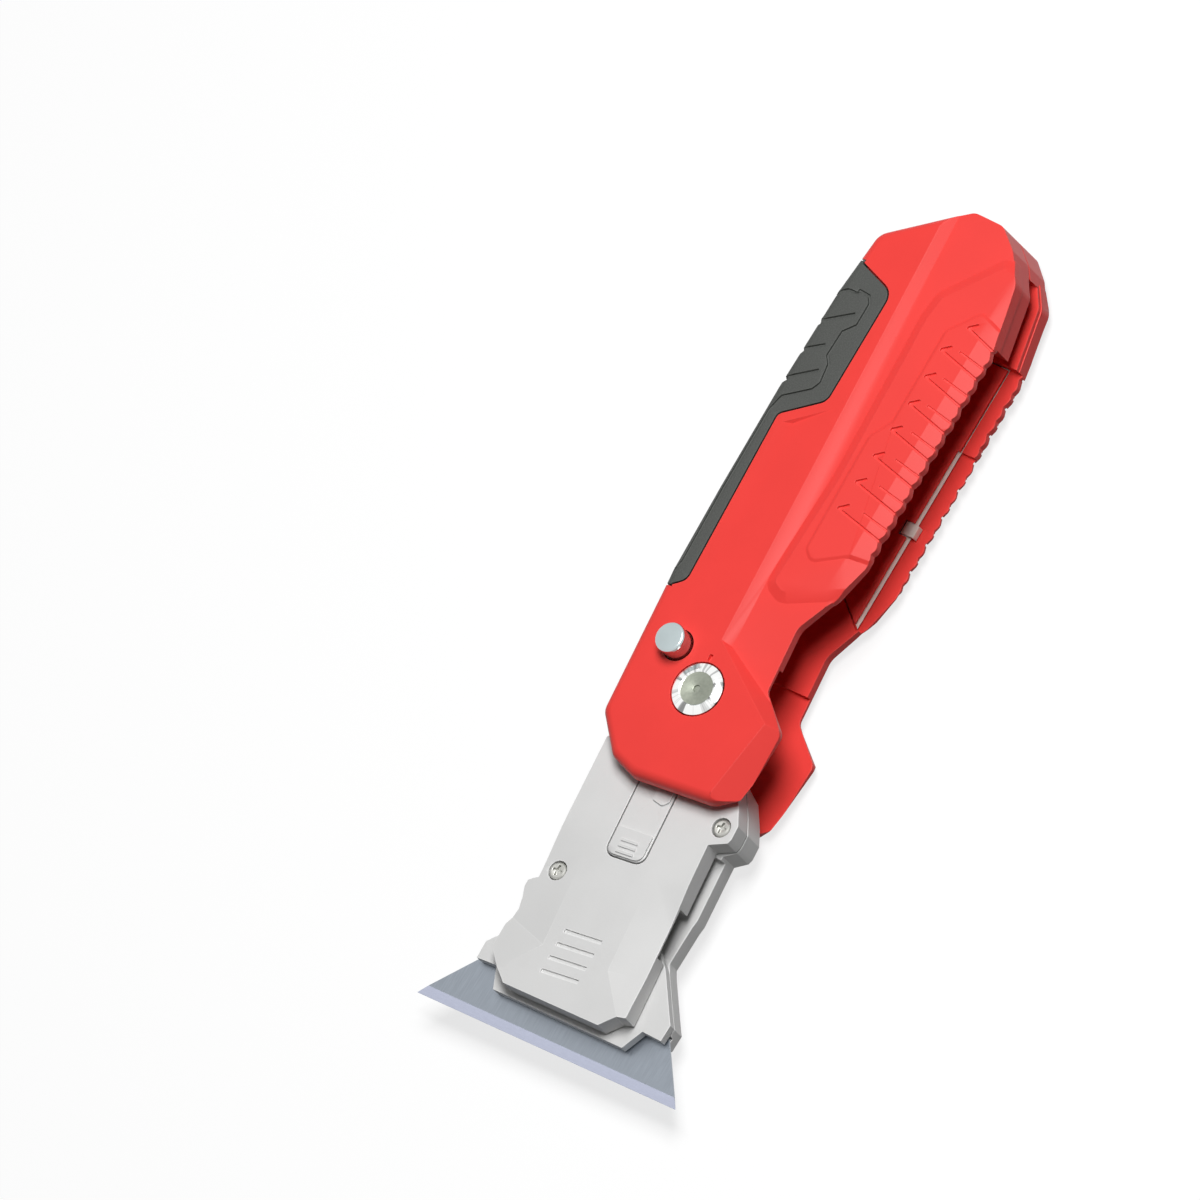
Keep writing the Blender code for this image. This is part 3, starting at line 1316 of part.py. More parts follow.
def build_slider():
    half = SLIDER_WIDE / 2
    start = SLIDER_START_X
    end = SLIDER_END_X
    tab = plate("tab", rounded([
        (*along_head(start, -half), 0.6 * MM),
        (*along_head(end, -half), SLIDER_ROUND),
        (*along_head(end, half), SLIDER_ROUND),
        (*along_head(start, half), 0.6 * MM),
    ]), TONGUE_LOW, HEAD_HIGH)
    foot = head_box("foot", start + 0.5 * MM, end - 2 * MM, SLIDER_FOOT_WIDE / 2, TONGUE_LOW, TONGUE_HIGH)
    tongue = head_box(
        "tongue", end - 3 * MM, LATCH_X + 1.8 * MM, TONGUE_WIDE / 2, TONGUE_LOW, TONGUE_HIGH,
    )
    pad = plate("pad", rounded([
        (*along_head(end - PAD_LONG, -half + 0.3 * MM), 0.5 * MM),
        (*along_head(end - 0.2 * MM, -half + 0.3 * MM), SLIDER_ROUND - 0.2 * MM),
        (*along_head(end - 0.2 * MM, half - 0.3 * MM), SLIDER_ROUND - 0.2 * MM),
        (*along_head(end - PAD_LONG, half - 0.3 * MM), 0.5 * MM),
    ]), HEAD_HIGH - 1 * MM, HEAD_HIGH + PAD_PROUD - PAD_RIB_PROUD)
    nib = plate("nib", rounded([
        (*along_head(start + 0.8 * MM, 0.2 * MM), 0.3 * MM),
        (*along_head(start + 3.6 * MM, 0.2 * MM), 0.3 * MM),
        (*along_head(start + 4.2 * MM, 2.6 * MM), 0.8 * MM),
        (*along_head(start + 3.2 * MM, 3.7 * MM), 0.5 * MM),
        (*along_head(start + 0.8 * MM, 3.7 * MM), 0.3 * MM),
    ]), HEAD_HIGH - 1 * MM, HEAD_HIGH + NIB_PROUD)
    join(tab, foot, tongue, pad, nib)
    for index in range(PAD_RIBS):
        x = end - PAD_LONG + PAD_RIB_PITCH * (index + 1.8)
        join(tab, head_box(
            f"rib_{index}", x, x + PAD_RIB_PITCH / 2, PAD_RIB_LONG / 2, HEAD_HIGH, HEAD_HIGH + PAD_PROUD,
        ))
    for index, side in enumerate((-1, 1), 1):
        spot = (LATCH_X, BLADE_MIDDLE_Y + side * NOTCH_PITCH / 2)
        low = BLADE_HIGH + GAP
        seat = pillar(
            f"latch_seat_{index}", spot, LATCH_RADIUS + SMALL_FIT, TONGUE_LOW - 1 * MM,
            TONGUE_HIGH + 1 * MM, SMALL_STEPS,
        )
        cut(tab, seat)
        pin = pillar(f"latch_{index}", spot, LATCH_RADIUS, low, TONGUE_HIGH, SMALL_STEPS)
        keep(pin, f"latch_pin_{index}", head_axis, STEEL)
    keep(tab, "release_slider", head_axis, CAST)

    room_start = SLIDER_START_X - SLIDER_TRAVEL - 2.6 * MM
    spring = coil("slider_coil", SLIDER_COIL_RADIUS, SLIDER_WIRE, start - room_start - 2 * GAP, 4)
    spring.data.transform(Matrix.Rotation(HEAD_SKEW, 4, "Z") @ Matrix.Rotation(pi / 2, 4, "Y"))
    spot = along_head(room_start + GAP, 0)
    spring.location = (spot[0], spot[1], (COVER_LOW + HEAD_HIGH) / 2)
    keep(spring, "slider_spring", head_axis, STEEL)


def build_blade():
    blade = blade_solid("fitted_blade")
    blade.location = (BLADE_BACK_X, BLADE_MIDDLE_Y, BLADE_LOW)
    keep(blade, "blade", head_axis, STEEL)


build_shells()
build_pivot()
build_lock()
build_shell_screws()
build_head()
build_slider()
build_blade()
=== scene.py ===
"""Studio looks for a folding utility knife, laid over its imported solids.

Each visible piece is a finished copy of a solid or a turned piece of its own,
and it rides on the body that carries that solid.
"""

import json
from math import cos, pi, radians, sin

import bmesh
import bpy
from bpy.props import FloatProperty, FloatVectorProperty, IntProperty, PointerProperty
from bpy.types import Operator, Panel, PropertyGroup
from mathutils import Matrix, Vector

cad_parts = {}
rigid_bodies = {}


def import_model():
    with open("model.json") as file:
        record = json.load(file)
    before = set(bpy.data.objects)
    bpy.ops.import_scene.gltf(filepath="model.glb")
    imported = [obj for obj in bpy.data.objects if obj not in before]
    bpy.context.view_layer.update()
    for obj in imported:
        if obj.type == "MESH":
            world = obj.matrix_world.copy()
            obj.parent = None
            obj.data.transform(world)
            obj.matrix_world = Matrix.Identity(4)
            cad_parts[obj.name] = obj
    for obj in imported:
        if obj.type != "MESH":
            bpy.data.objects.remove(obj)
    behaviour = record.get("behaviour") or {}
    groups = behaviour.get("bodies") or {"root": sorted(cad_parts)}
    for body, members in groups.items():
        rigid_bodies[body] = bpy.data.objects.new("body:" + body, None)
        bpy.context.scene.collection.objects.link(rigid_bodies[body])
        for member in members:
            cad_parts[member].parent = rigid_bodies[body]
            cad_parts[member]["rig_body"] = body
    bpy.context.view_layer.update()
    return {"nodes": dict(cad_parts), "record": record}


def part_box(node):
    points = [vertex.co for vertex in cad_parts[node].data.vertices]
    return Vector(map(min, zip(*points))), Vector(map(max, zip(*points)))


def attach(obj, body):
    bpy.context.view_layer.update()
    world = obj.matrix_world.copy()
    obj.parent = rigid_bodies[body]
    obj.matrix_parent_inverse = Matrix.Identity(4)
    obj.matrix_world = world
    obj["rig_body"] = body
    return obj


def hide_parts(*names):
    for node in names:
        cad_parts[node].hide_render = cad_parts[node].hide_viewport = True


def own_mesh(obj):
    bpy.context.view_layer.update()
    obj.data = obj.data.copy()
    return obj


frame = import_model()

bl_info = {
    "name": "Folding utility knife looks",
    "version": (1, 0, 0),
    "blender": (4, 5, 0),
    "location": "3D View > Sidebar > Knife",
    "description": "Dresses the packed solids of a folding utility knife and sets its studio",
    "category": "Object",
}

MM = 0.001

# Points nearer than this are merged, in metres, and faces flatter than this are joined, in degrees
SOLID_MERGE = 0.002 * MM
TURNED_MERGE = 0.001 * MM
FLAT_ANGLE = 0.3

# Edges above the first angle are rounded, and those above the others stay sharp, in degrees
ROUND_ANGLE = 28
SMALL_ROUND_ANGLE = 40
SMOOTH_ANGLE = 34
SHELL_SMOOTH_ANGLE = 23.5
CAST_SMOOTH_ANGLE = 24
CAST_CREASE_ANGLE = 4
NO_CREASE_ANGLE = 180
UPWARD = 0.99

# Face of the pivot from its middle out: radius and depth below its top, in millimetres
PIVOT_FACE = (
    (0, 0.50), (0.62, 0.50), (0.70, 0.24), (0.80, 0.20), (3.14, 0.20), (3.28, 0.17),
    (3.44, 0.03), (3.56, 0), (3.72, 0.02), (3.92, 0.08),
)
PIVOT_RIM_INSET = 0.10 * MM
PIVOT_BEVEL_DEEP = 0.42 * MM
PIVOT_RIM_DEEP = 0.52 * MM
PIVOT_HEAD_THICK = 1.8 * MM
PIVOT_SHANK_RADIUS = 2.0 * MM
PIVOT_DISC_RADIUS = 3.22 * MM
PIVOT_DISC_DEEP = 1 * MM

# Dome of the button: share of its radius and depth below its top in millimetres
BUTTON_DOME = ((0, 0), (0.35, 0.015), (0.62, 0.06))
BUTTON_DOME_DEEP = 0.13 * MM
BUTTON_ROUND = 0.55 * MM
BUTTON_ROUND_STEPS = 6
BUTTON_NECK_INSET = 0.12 * MM
BUTTON_CAP_DEEP = 1.22 * MM
BUTTON_LIP_INSET = 0.03 * MM
BUTTON_LIP_DEEP = 1.30 * MM
BUTTON_NECK_DEEP = 1.36 * MM
BUTTON_FOOT = 0.1 * MM

GROUND_WIDE = 1.9 * MM
BLADE_EDGE = 0.03 * MM
SCREW_EDGE = 0.08 * MM
EDGE_METAL = 0.55
# The stored blade's edge is hardly metallic, so that its pale colour paints a highlight
SPARE_GLINT_METAL = 0.1

# Gains of the painted edge highlight that shows a casting's faint creases, or its sharp edges
# alone
CREASE_HIGHLIGHT_GAIN = 800
EDGE_HIGHLIGHT_GAIN = 6

FLOOR_GAP = 0.05 * MM
KEY_SPOT = (-0.28, 0.13, 0.89)
KEY_SIZE = 0.40
GLEAM_SPOT = (-0.10, 0.34, 0.86)
GLEAM_SIZE = 0.15
CLIP_NEAR = 0.01
CLIP_FAR = 10

# Axes of the photograph's view: to its right, up it and out of it
VIEW_RIGHT = Vector((-0.5027, 0.7654, -0.4019))
VIEW_UP = Vector((-0.8488, -0.3489, 0.3973))
VIEW_BACK = Vector((0.1639, 0.5408, 0.8250))
VIEW_CENTRE = Vector((5.8, -40.05, 7.5)) * MM


def colour_property(name, description, default):
    return FloatVectorProperty(
        name=name, description=description, subtype="COLOR", size=3, min=0, max=1,
        default=default,
    )


def length_property(name, description, default):
    return FloatProperty(name=name, description=description, unit="LENGTH", min=0, default=default)


def number_property(name, description, default):
    return FloatProperty(name=name, description=description, min=0, default=default)


class KnifeFinishes(PropertyGroup):
    """Colours and edge sizes of the knife's pieces."""

    red: colour_property("Red plastic", "Colour of the moulded shells", (0.85, 0.058, 0.050))
    rubber: colour_property(
        "Grip rubber", "Colour of the rubber on the spine", (0.062, 0.065, 0.060),
    )
    cast: colour_property("Cast metal", "Colour of the cast head", (0.66, 0.66, 0.655))
    steel: colour_property("Plain steel", "Colour of screws, pins and springs", (0.50, 0.50, 0.47))
    bright: colour_property("Polished metal", "Colour of the pivot", (0.78, 0.79, 0.78))
    button: colour_property("Button metal", "Colour of the lock button", (0.50, 0.57, 0.58))
    blade: colour_property("Blade steel", "Colour of the blade's flat", (0.28, 0.31, 0.35))
    ground: colour_property("Ground edge", "Colour of the blade's ground edge", (0.50, 0.53, 0.66))
    # Pale colour that paints a highlight on the stored blade's edge and its clip in the shaded
    # channel
    spare: colour_property(
        "Spare edge", "Colour of the stored blade's edge and its clip", (0.90, 0.84, 0.76),
    )
    brass: colour_property("Brass", "Colour of the washers", (0.70, 0.52, 0.22))
    shell_edge: length_property("Shell edge", "Round on the shells' sharp edges", 0.09 * MM)
    grip_edge: length_property("Grip edge", "Round on the rubber's edges", 0.18 * MM)
    cast_edge: length_property("Cast edge", "Round on the head's edges", 0.12 * MM)
    slider_edge: length_property("Slider edge", "Round on the slider's edges", 0.07 * MM)
    round_steps: IntProperty(
        name="Round steps", description="Sides of a turned piece", default=96, min=16,
    )


class KnifeStudio(PropertyGroup):
    """Camera, floor and lights round the knife."""

    view_wide: length_property("View width", "Width of the floor that the camera sees", 217 * MM)
    floor_size: length_property("Floor size", "Side of the square floor", 6.0)
    floor_tone: number_property("Floor tone", "Brightness of the floor in the picture", 0.26)
    floor_glow: number_property("Floor glow", "White that the floor adds in the picture", 0.76)
    bounce_tone: number_property(
        "Bounce tone", "Brightness of the floor in the light it throws back", 0.12,
    )
    world_level: number_property("World level", "Light from all round", 0.03)
    key_power: number_property("Key power", "Power of the main light", 7.3)
    gleam_power: number_property("Gleam power", "Power of the small light for the edges", 2.0)


class Value:
    """A shader value that takes part in Python arithmetic."""

    def __init__(self, nodes, socket):
        self.nodes = nodes
        self.socket = socket

    def math(self, operation, first, second):
        return self.nodes.value("ShaderNodeMath", {"operation": operation}, {0: first, 1: second})

    def __add__(self, other):
        return self.math("ADD", self, other)

    def __radd__(self, other):
        return self.math("ADD", other, self)

    def __sub__(self, other):
        return self.math("SUBTRACT", self, other)

    def __rsub__(self, other):
        return self.math("SUBTRACT", other, self)

    def __mul__(self, other):
        return self.math("MULTIPLY", self, other)

    def __rmul__(self, other):
        return self.math("MULTIPLY", other, self)

    def about(self, level, spread):
        """Level that this cloudy value moves by a spread."""
        return level + (self - 0.5) * spread

    def step(self, start, end):
        """Smooth rise from 0 to 1 between two levels."""
        return self.nodes.value(
            "ShaderNodeMapRange",
            {"interpolation_type": "SMOOTHSTEP"},
            {"Value": self, "From Min": start, "From Max": end},
        )


class Nodes:
    """Shader nodes of one material or world while they are put together."""

    def __init__(self, tree):
        self.tree = tree

    def node(self, kind, settings, sockets):
        made = self.tree.nodes.new(kind)
        for name, setting in settings.items():
            setattr(made, name, setting)
        for key, given in sockets.items():
            if isinstance(given, Value):
                self.tree.links.new(given.socket, made.inputs[key])
            else:
                made.inputs[key].default_value = given
        return made

    def value(self, kind, settings, sockets, output=0):
        return Value(self, self.node(kind, settings, sockets).outputs[output])

    def seen_directly(self):
        """1 for what the camera sees, in metal and through glass too, and 0 for other light."""
        rays = self.node("ShaderNodeLightPath", {}, {}).outputs
        camera = Value(self, rays["Is Camera Ray"])
        glossy = Value(self, rays["Is Glossy Ray"])
        through = Value(self, rays["Is Transmission Ray"])
        return camera + glossy + through


class Finish(Nodes):
    """One material with a Principled shader."""

    def __init__(self, name):
        self.material = bpy.data.materials.new(name)
        self.material.use_nodes = True
        super().__init__(self.material.node_tree)
        self.shader = self.tree.nodes["Principled BSDF"]
        self.place = self.value("ShaderNodeTexCoord", {}, {}, "Object")

    def mix(self, factor, first, second):
        """Blend of two colours."""
        ends = [end if isinstance(end, Value) else (*end, 1) for end in (first, second)]
        settings = {"data_type": "RGBA"}
        return self.value("ShaderNodeMix", settings, {0: factor, 6: ends[0], 7: ends[1]}, 2)

    def mottle(self, pattern, colour, dark, pale):
        """Colour that a pattern takes from a darker to a paler shade."""
        return self.mix(pattern, shade(colour, dark), shade(colour, pale))

    def noise(self, scale, detail, stretch=(1, 1, 1)):
        """Cloudy value about 0.5, at a number of cells per metre."""
        spread = self.value("ShaderNodeMapping", {}, {"Vector": self.place, "Scale": stretch})
        sockets = {"Vector": spread, "Scale": scale, "Detail": detail}
        return self.value("ShaderNodeTexNoise", {}, sockets)

    def axis(self, letter):
        """One coordinate of the surface point, in metres."""
        return self.value("ShaderNodeSeparateXYZ", {}, {0: self.place}, letter)

    def bump(self, height, strength, distance):
        sockets = {"Height": height, "Strength": strength, "Distance": distance}
        self.set("Normal", self.value("ShaderNodeBump", {}, sockets))

    def edge_highlight_mask(self, radius, gain):
        """Rises to 1 along the edges of the shape, where a paler colour paints a highlight."""
        soft = self.value("ShaderNodeBevel", {"samples": 4}, {"Radius": radius})
        hard = self.value("ShaderNodeNewGeometry", {}, {}, "Normal")
        settings = {"operation": "DOT_PRODUCT"}
        alike = self.value("ShaderNodeVectorMath", settings, {0: soft, 1: hard}, "Value")
        return ((1 - alike) * gain).step(0.05, 1.0)

    def set(self, name, given):
        socket = self.shader.inputs[name]
        if isinstance(given, Value):
            self.tree.links.new(given.socket, socket)
        else:
            socket.default_value = given


def shade(colour, factor):
    return tuple(min(1.0, part * factor) for part in colour)


def red_plastic(looks):
    """Satin moulded plastic with a fine spark grain and a painted highlight that makes its edges
    slightly paler.
    """
    finish = Finish("red_plastic")
    red = tuple(looks.red)
    cloud = finish.noise(scale=90, detail=3)
    grain = finish.noise(scale=5200, detail=2)
    edge = finish.edge_highlight_mask(radius=0.35 * MM, gain=6)
    base = finish.mottle(cloud.step(0.3, 0.7), red, dark=0.985, pale=1.015)
    # Paler red of the painted highlight along the edges
    paler = (min(1, red[0] * 1.12), red[1] * 2.0, red[2] * 2.0)
    finish.set("Base Color", finish.mix(edge * 0.5, base, paler))
    finish.set("Roughness", cloud.about(0.36, 0.04) + (grain - 0.5) * 0.06)
    finish.set("Specular IOR Level", 0.13)
    finish.bump(grain + cloud * 0.3, strength=0.12, distance=0.06 * MM)
    return finish.material


def grip_rubber(looks):
    """Matt rubber with a fine dusty grain and a painted highlight along its edges."""
    finish = Finish("grip_rubber")
    rubber = tuple(looks.rubber)
    grain = finish.noise(scale=3800, detail=3)
    cloud = finish.noise(scale=140, detail=3)
    edge = finish.edge_highlight_mask(radius=0.3 * MM, gain=6)
    base = finish.mottle(grain.step(0.35, 0.7), rubber, dark=0.82, pale=1.12)
    # Edges painted paler as a highlight
    finish.set("Base Color", finish.mix(edge * 0.5, base, shade(rubber, 1.9)))
    finish.set("Roughness", cloud.about(0.62, 0.12))
    finish.set("Specular IOR Level", 0.4)
    finish.bump(grain, strength=0.3, distance=0.08 * MM)
    return finish.material


def cast_finish(looks, highlight_gain):
    """Blasted cast metal with a fine pebbled skin and a painted highlight along its edges."""
    finish = Finish("cast_finish")
    cast = tuple(looks.cast)
    pebble = finish.noise(scale=2600, detail=3)
    cloud = finish.noise(scale=110, detail=4)
    edge = finish.edge_highlight_mask(radius=0.25 * MM, gain=highlight_gain)
    base = finish.mottle(cloud.step(0.3, 0.7), cast, dark=0.985, pale=1.015)
    # Edges and creases painted paler as a highlight
    finish.set("Base Color", finish.mix(edge * 0.5, base, shade(cast, 1.25)))
    finish.set("Metallic", 0.12)
    finish.set("Roughness", pebble.about(0.48, 0.12))
    finish.set("Specular IOR Level", 0.1)
    finish.bump(pebble, strength=0.14, distance=0.06 * MM)
    return finish.material


def cast_metal(looks):
    """Cast metal of the head, whose painted edge highlight shows along faint creases too."""
    return cast_finish(looks, CREASE_HIGHLIGHT_GAIN)


def slider_metal(looks):
    """Cast metal of the slider, whose painted edge highlight shows only along sharp edges."""
    return cast_finish(looks, EDGE_HIGHLIGHT_GAIN)


def plain_steel(looks):
    """Bare steel with a light turned finish."""
    finish = Finish("plain_steel")
    streak = finish.noise(scale=900, detail=3, stretch=(1, 1, 6))
    finish.set("Base Color", finish.mottle(streak, looks.steel, dark=0.85, pale=1.15))
    finish.set("Metallic", streak.about(0.7, 0.1))
    finish.set("Roughness", streak.about(0.38, 0.16))
    finish.bump(streak, strength=0.08, distance=0.03 * MM)
    return finish.material


def bright_metal(looks):
    """Polished metal with faint turning marks."""
    finish = Finish("bright_metal")
    cloud = finish.noise(scale=300, detail=3)
    finish.set("Base Color", finish.mottle(cloud, looks.bright, dark=0.92, pale=1.06))
    finish.set("Metallic", 1.0)
    finish.set("Roughness", cloud.about(0.16, 0.10))
    finish.bump(finish.noise(scale=2400, detail=2), strength=0.03, distance=0.02 * MM)
    return finish.material


def button_metal(looks):
    """Bluish nickel of the lock button, with a painted highlight along its rim."""
    finish = Finish("button_metal")
    button = tuple(looks.button)
    cloud = finish.noise(scale=300, detail=3)
    edge = finish.edge_highlight_mask(radius=0.5 * MM, gain=5)
    base = finish.mottle(cloud, button, dark=0.92, pale=1.06)
    # Rim painted brighter as a highlight
    finish.set("Base Color", finish.mix(edge, base, shade(button, 1.6)))
    finish.set("Metallic", 1.0)
    finish.set("Roughness", cloud.about(0.20, 0.10))
    finish.bump(finish.noise(scale=2400, detail=2), strength=0.03, distance=0.02 * MM)
    return finish.material


def pivot_ring_painted_reflections(looks):
    """Polished bevel of the pivot with painted reflections: bright and dark bands that fan out
    from its middle.
    """
    finish = Finish("pivot_ring_painted_reflections")
    spot = middle_of("pivot_bolt")
    along = finish.axis("X") - spot.x
    across = finish.axis("Y") - spot.y
    angle = across.math("ARCTAN2", across, along)
    sockets = {"W": angle * 2.6, "Scale": 1.0, "Detail": 2.0}
    fan = finish.value("ShaderNodeTexNoise", {"noise_dimensions": "1D"}, sockets)
    # Bright and dark bands of painted reflection round the bevel
    painted_reflection_bands = fan.step(0.36, 0.52)
    finish.set("Base Color", finish.mottle(painted_reflection_bands, looks.bright, dark=0.34, pale=1.2))
    finish.set("Metallic", 1.0)
    finish.set("Roughness", 0.24 - painted_reflection_bands * 0.08)
    return finish.material


def pivot_centre_metal(looks):
    """Duller disc in the middle of the pivot."""
    finish = Finish("pivot_centre_metal")
    grain = finish.noise(scale=2200, detail=3)
    finish.set("Base Color", finish.mix(grain, (0.22, 0.24, 0.20), (0.33, 0.35, 0.29)))
    finish.set("Metallic", 0.8)
    finish.set("Roughness", grain.about(0.42, 0.2))
    finish.bump(grain, strength=0.1, distance=0.03 * MM)
    return finish.material


def blade_steel(name, looks, edge_axis, edge_place, edge_colour, edge_metal):
    """Ground blade steel with streaks, a paler ground edge and grinding marks across it."""
    finish = Finish(name)
    along, across = (14, 1, 1), (1, 14, 1)
    if edge_axis == "Y":
        along, across = across, along
    streak = finish.noise(scale=240, detail=4, stretch=across)
    scratch = finish.noise(scale=700, detail=3, stretch=along)
    ground = finish.axis(edge_axis).step(edge_place - 0.12 * MM, edge_place + 0.05 * MM)
    base = finish.mottle(streak, looks.blade, dark=0.86, pale=1.16)
    shine = finish.mottle(scratch, edge_colour, dark=0.88, pale=1.1)
    finish.set("Base Color", finish.mix(ground, base, shine))
    finish.set("Metallic", 1.0 - ground * (1 - edge_metal))
    finish.set("Roughness", streak.about(0.33, 0.16) - ground * 0.10)
    marks = streak * (1 - ground) + scratch * ground
    finish.bump(marks, strength=0.10, distance=0.03 * MM)
    return finish.material


def clip_painted_glint(looks):
    """Sheet clip over the spare blade, pale and hardly metallic: a painted highlight that lets it
    show in the shaded channel.
    """
    finish = Finish("clip_painted_glint")
    cloud = finish.noise(scale=400, detail=3)
    finish.set("Base Color", finish.mottle(cloud, looks.spare, dark=0.9, pale=1.05))
    finish.set("Metallic", 0.1)
    finish.set("Roughness", cloud.about(0.35, 0.1))
    return finish.material


def brass(looks):
    """Plain brass of the washers."""
    finish = Finish("washer_brass")
    cloud = finish.noise(scale=500, detail=3)
    finish.set("Base Color", finish.mottle(cloud, looks.brass, dark=0.85, pale=1.1))
    finish.set("Metallic", 1.0)
    finish.set("Roughness", cloud.about(0.34, 0.14))
    return finish.material


def shared(maker, looks):
    """A material that several pieces share, made once under a name of its own."""
    name = "look_" + maker.__name__
    material = bpy.data.materials.get(name)
    if material is None:
        material = maker(looks)
        material.name = name
    return material


def solid_copy(node):
    """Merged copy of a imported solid, with its flat faces joined up."""
    shape = bmesh.new()
    shape.from_mesh(frame["nodes"][node].data)
    bmesh.ops.remove_doubles(shape, verts=shape.verts, dist=SOLID_MERGE)
    bmesh.ops.dissolve_limit(
        shape, angle_limit=radians(FLAT_ANGLE), verts=shape.verts, edges=shape.edges,
        use_dissolve_boundaries=False,
    )
    return shape


def soften(shape, width, least_angle=ROUND_ANGLE, segments=2):
    """Round the sharp edges of a shape."""
    sharp = [
        edge for edge in shape.edges
        if edge.is_manifold and edge.calc_face_angle(0) > radians(least_angle)
    ]
    bmesh.ops.bevel(
        shape, geom=sharp, offset=width, offset_type="OFFSET", segments=segments, profile=0.5,
        affect="EDGES", material=-1, clamp_overlap=False, loop_slide=True,
    )
    many_sided = [face for face in shape.faces if len(face.verts) > 4]
    bmesh.ops.triangulate(shape, faces=many_sided)
    bmesh.ops.recalc_face_normals(shape, faces=shape.faces)
    return shape


def lathe(profile, spot, steps):
    """Turned shape of a profile of radius and height about an upright axis."""
    shape = bmesh.new()
    verts = [
        shape.verts.new((spot[0] + radius, spot[1], height)) for radius, height in profile
    ]
    edges = [shape.edges.new(pair) for pair in zip(verts, verts[1:])]
    bmesh.ops.spin(
        shape, geom=verts + edges, cent=(spot[0], spot[1], 0), axis=(0, 0, 1),
        angle=2 * pi, steps=steps, use_merge=True,
    )
    bmesh.ops.remove_doubles(shape, verts=shape.verts, dist=TURNED_MERGE)
    bmesh.ops.recalc_face_normals(shape, faces=shape.faces)
    return shape


def add_piece(
    shape, name, nodes, materials, smooth_angle=SMOOTH_ANGLE, crease_angle=NO_CREASE_ANGLE,
):
    """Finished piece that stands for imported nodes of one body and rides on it.

    Edges above the smooth angle stay sharp, and so do faint creases of an upward face.
    """
    for face in shape.faces:
        face.smooth = True
    for edge in shape.edges:
        angle = edge.calc_face_angle(0)
        upward = all(face.normal.z > UPWARD for face in edge.link_faces)
        creased = upward and angle > radians(crease_angle)
        edge.smooth = angle < radians(smooth_angle) and not creased
    mesh = bpy.data.meshes.new(name)
    shape.to_mesh(mesh)
    shape.free()
    for material in materials:
        mesh.materials.append(material)
    piece = bpy.data.objects.new(name, mesh)
    bpy.context.scene.collection.objects.link(piece)
    even = piece.modifiers.new("even_normals", "WEIGHTED_NORMAL")
    even.keep_sharp = True
    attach(piece, frame["nodes"][nodes[0]]["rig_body"])
    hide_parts(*nodes)
    return piece


def dress(node, material):
    """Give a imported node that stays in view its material."""
    solid = frame["nodes"][node]
    solid.data.materials.clear()
    solid.data.materials.append(material)


def add_spring(node, joint_name, material):
    """Finished coil of a spring, with a mesh of its own; how much of its length would stay at the
    joint's whole travel is worked out, but the coil is not made to shorten.
    """
    joints = frame["record"]["behaviour"]["joints"]
    joint = next(row for row in joints if row["name"] == joint_name)
    axis = -Vector(joint["axis"])
    shape = solid_copy(node)
    reach = [vert.co.dot(axis) for vert in shape.verts]
    start, length = min(reach), max(reach) - min(reach)
    piece = add_piece(shape, node + "_coil", [node], [material])
    keep = 1 - joint["range_m"][1] / length
    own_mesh(piece)


def middle_of(node):
    low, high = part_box(node)
    return (low + high) / 2


class KNIFE_OT_shells(Operator):
    """Dress the two handle shells and the cover of the spare blade"""

    bl_idname = "knife.shells"
    bl_label = "Handle shells"

    def execute(self, context):
        looks = context.scene.knife_finishes
        red = shared(red_plastic, looks)
        for node in ("front_shell", "rear_shell", "store_cover"):
            shape = soften(solid_copy(node), looks.shell_edge)
            name = node + "_moulding"
            add_piece(shape, name, [node], [red], SHELL_SMOOTH_ANGLE)
        return {"FINISHED"}


class KNIFE_OT_grips(Operator):
    """Dress the rubber insets on the spine"""

    bl_idname = "knife.grips"
    bl_label = "Rubber insets"

    def execute(self, context):
        looks = context.scene.knife_finishes
        rubber = shared(grip_rubber, looks)
        for node in ("front_grip", "rear_grip"):
            shape = soften(solid_copy(node), looks.grip_edge)
            add_piece(shape, node + "_rubber", [node], [rubber])
        return {"FINISHED"}


class KNIFE_OT_pivot(Operator):
    """Turn the pivot bolt and dress its nut and washers"""

    bl_idname = "knife.pivot"
    bl_label = "Pivot"

    def execute(self, context):
        looks = context.scene.knife_finishes
        bright = shared(bright_metal, looks)
        centre = shared(pivot_centre_metal, looks)
        low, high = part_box("pivot_bolt")
        spot = middle_of("pivot_bolt")
        radius = (high.x - low.x) / 2
        top = high.z
        profile = [(reach * MM, top - deep * MM) for reach, deep in PIVOT_FACE]
        profile += [
            (radius - PIVOT_RIM_INSET, top - PIVOT_BEVEL_DEEP), (radius, top - PIVOT_RIM_DEEP),
            (radius, top - PIVOT_HEAD_THICK), (PIVOT_SHANK_RADIUS, top - PIVOT_HEAD_THICK),
            (PIVOT_SHANK_RADIUS, low.z), (0, low.z),
        ]
        shape = lathe(profile, spot, looks.round_steps)
        for face in shape.faces:
            middle = face.calc_center_median()
            reach = (Vector(middle.xy) - Vector(spot.xy)).length
            if reach < PIVOT_DISC_RADIUS and middle.z > top - PIVOT_DISC_DEEP:
                face.material_index = 1
        ring = shared(pivot_ring_painted_reflections, looks)
        add_piece(shape, "pivot_bolt_turned", ["pivot_bolt"], [ring, centre])
        dress("pivot_nut", bright)
        washer = shared(brass, looks)
        for node in ("front_washer", "rear_washer"):
            dress(node, washer)
        return {"FINISHED"}


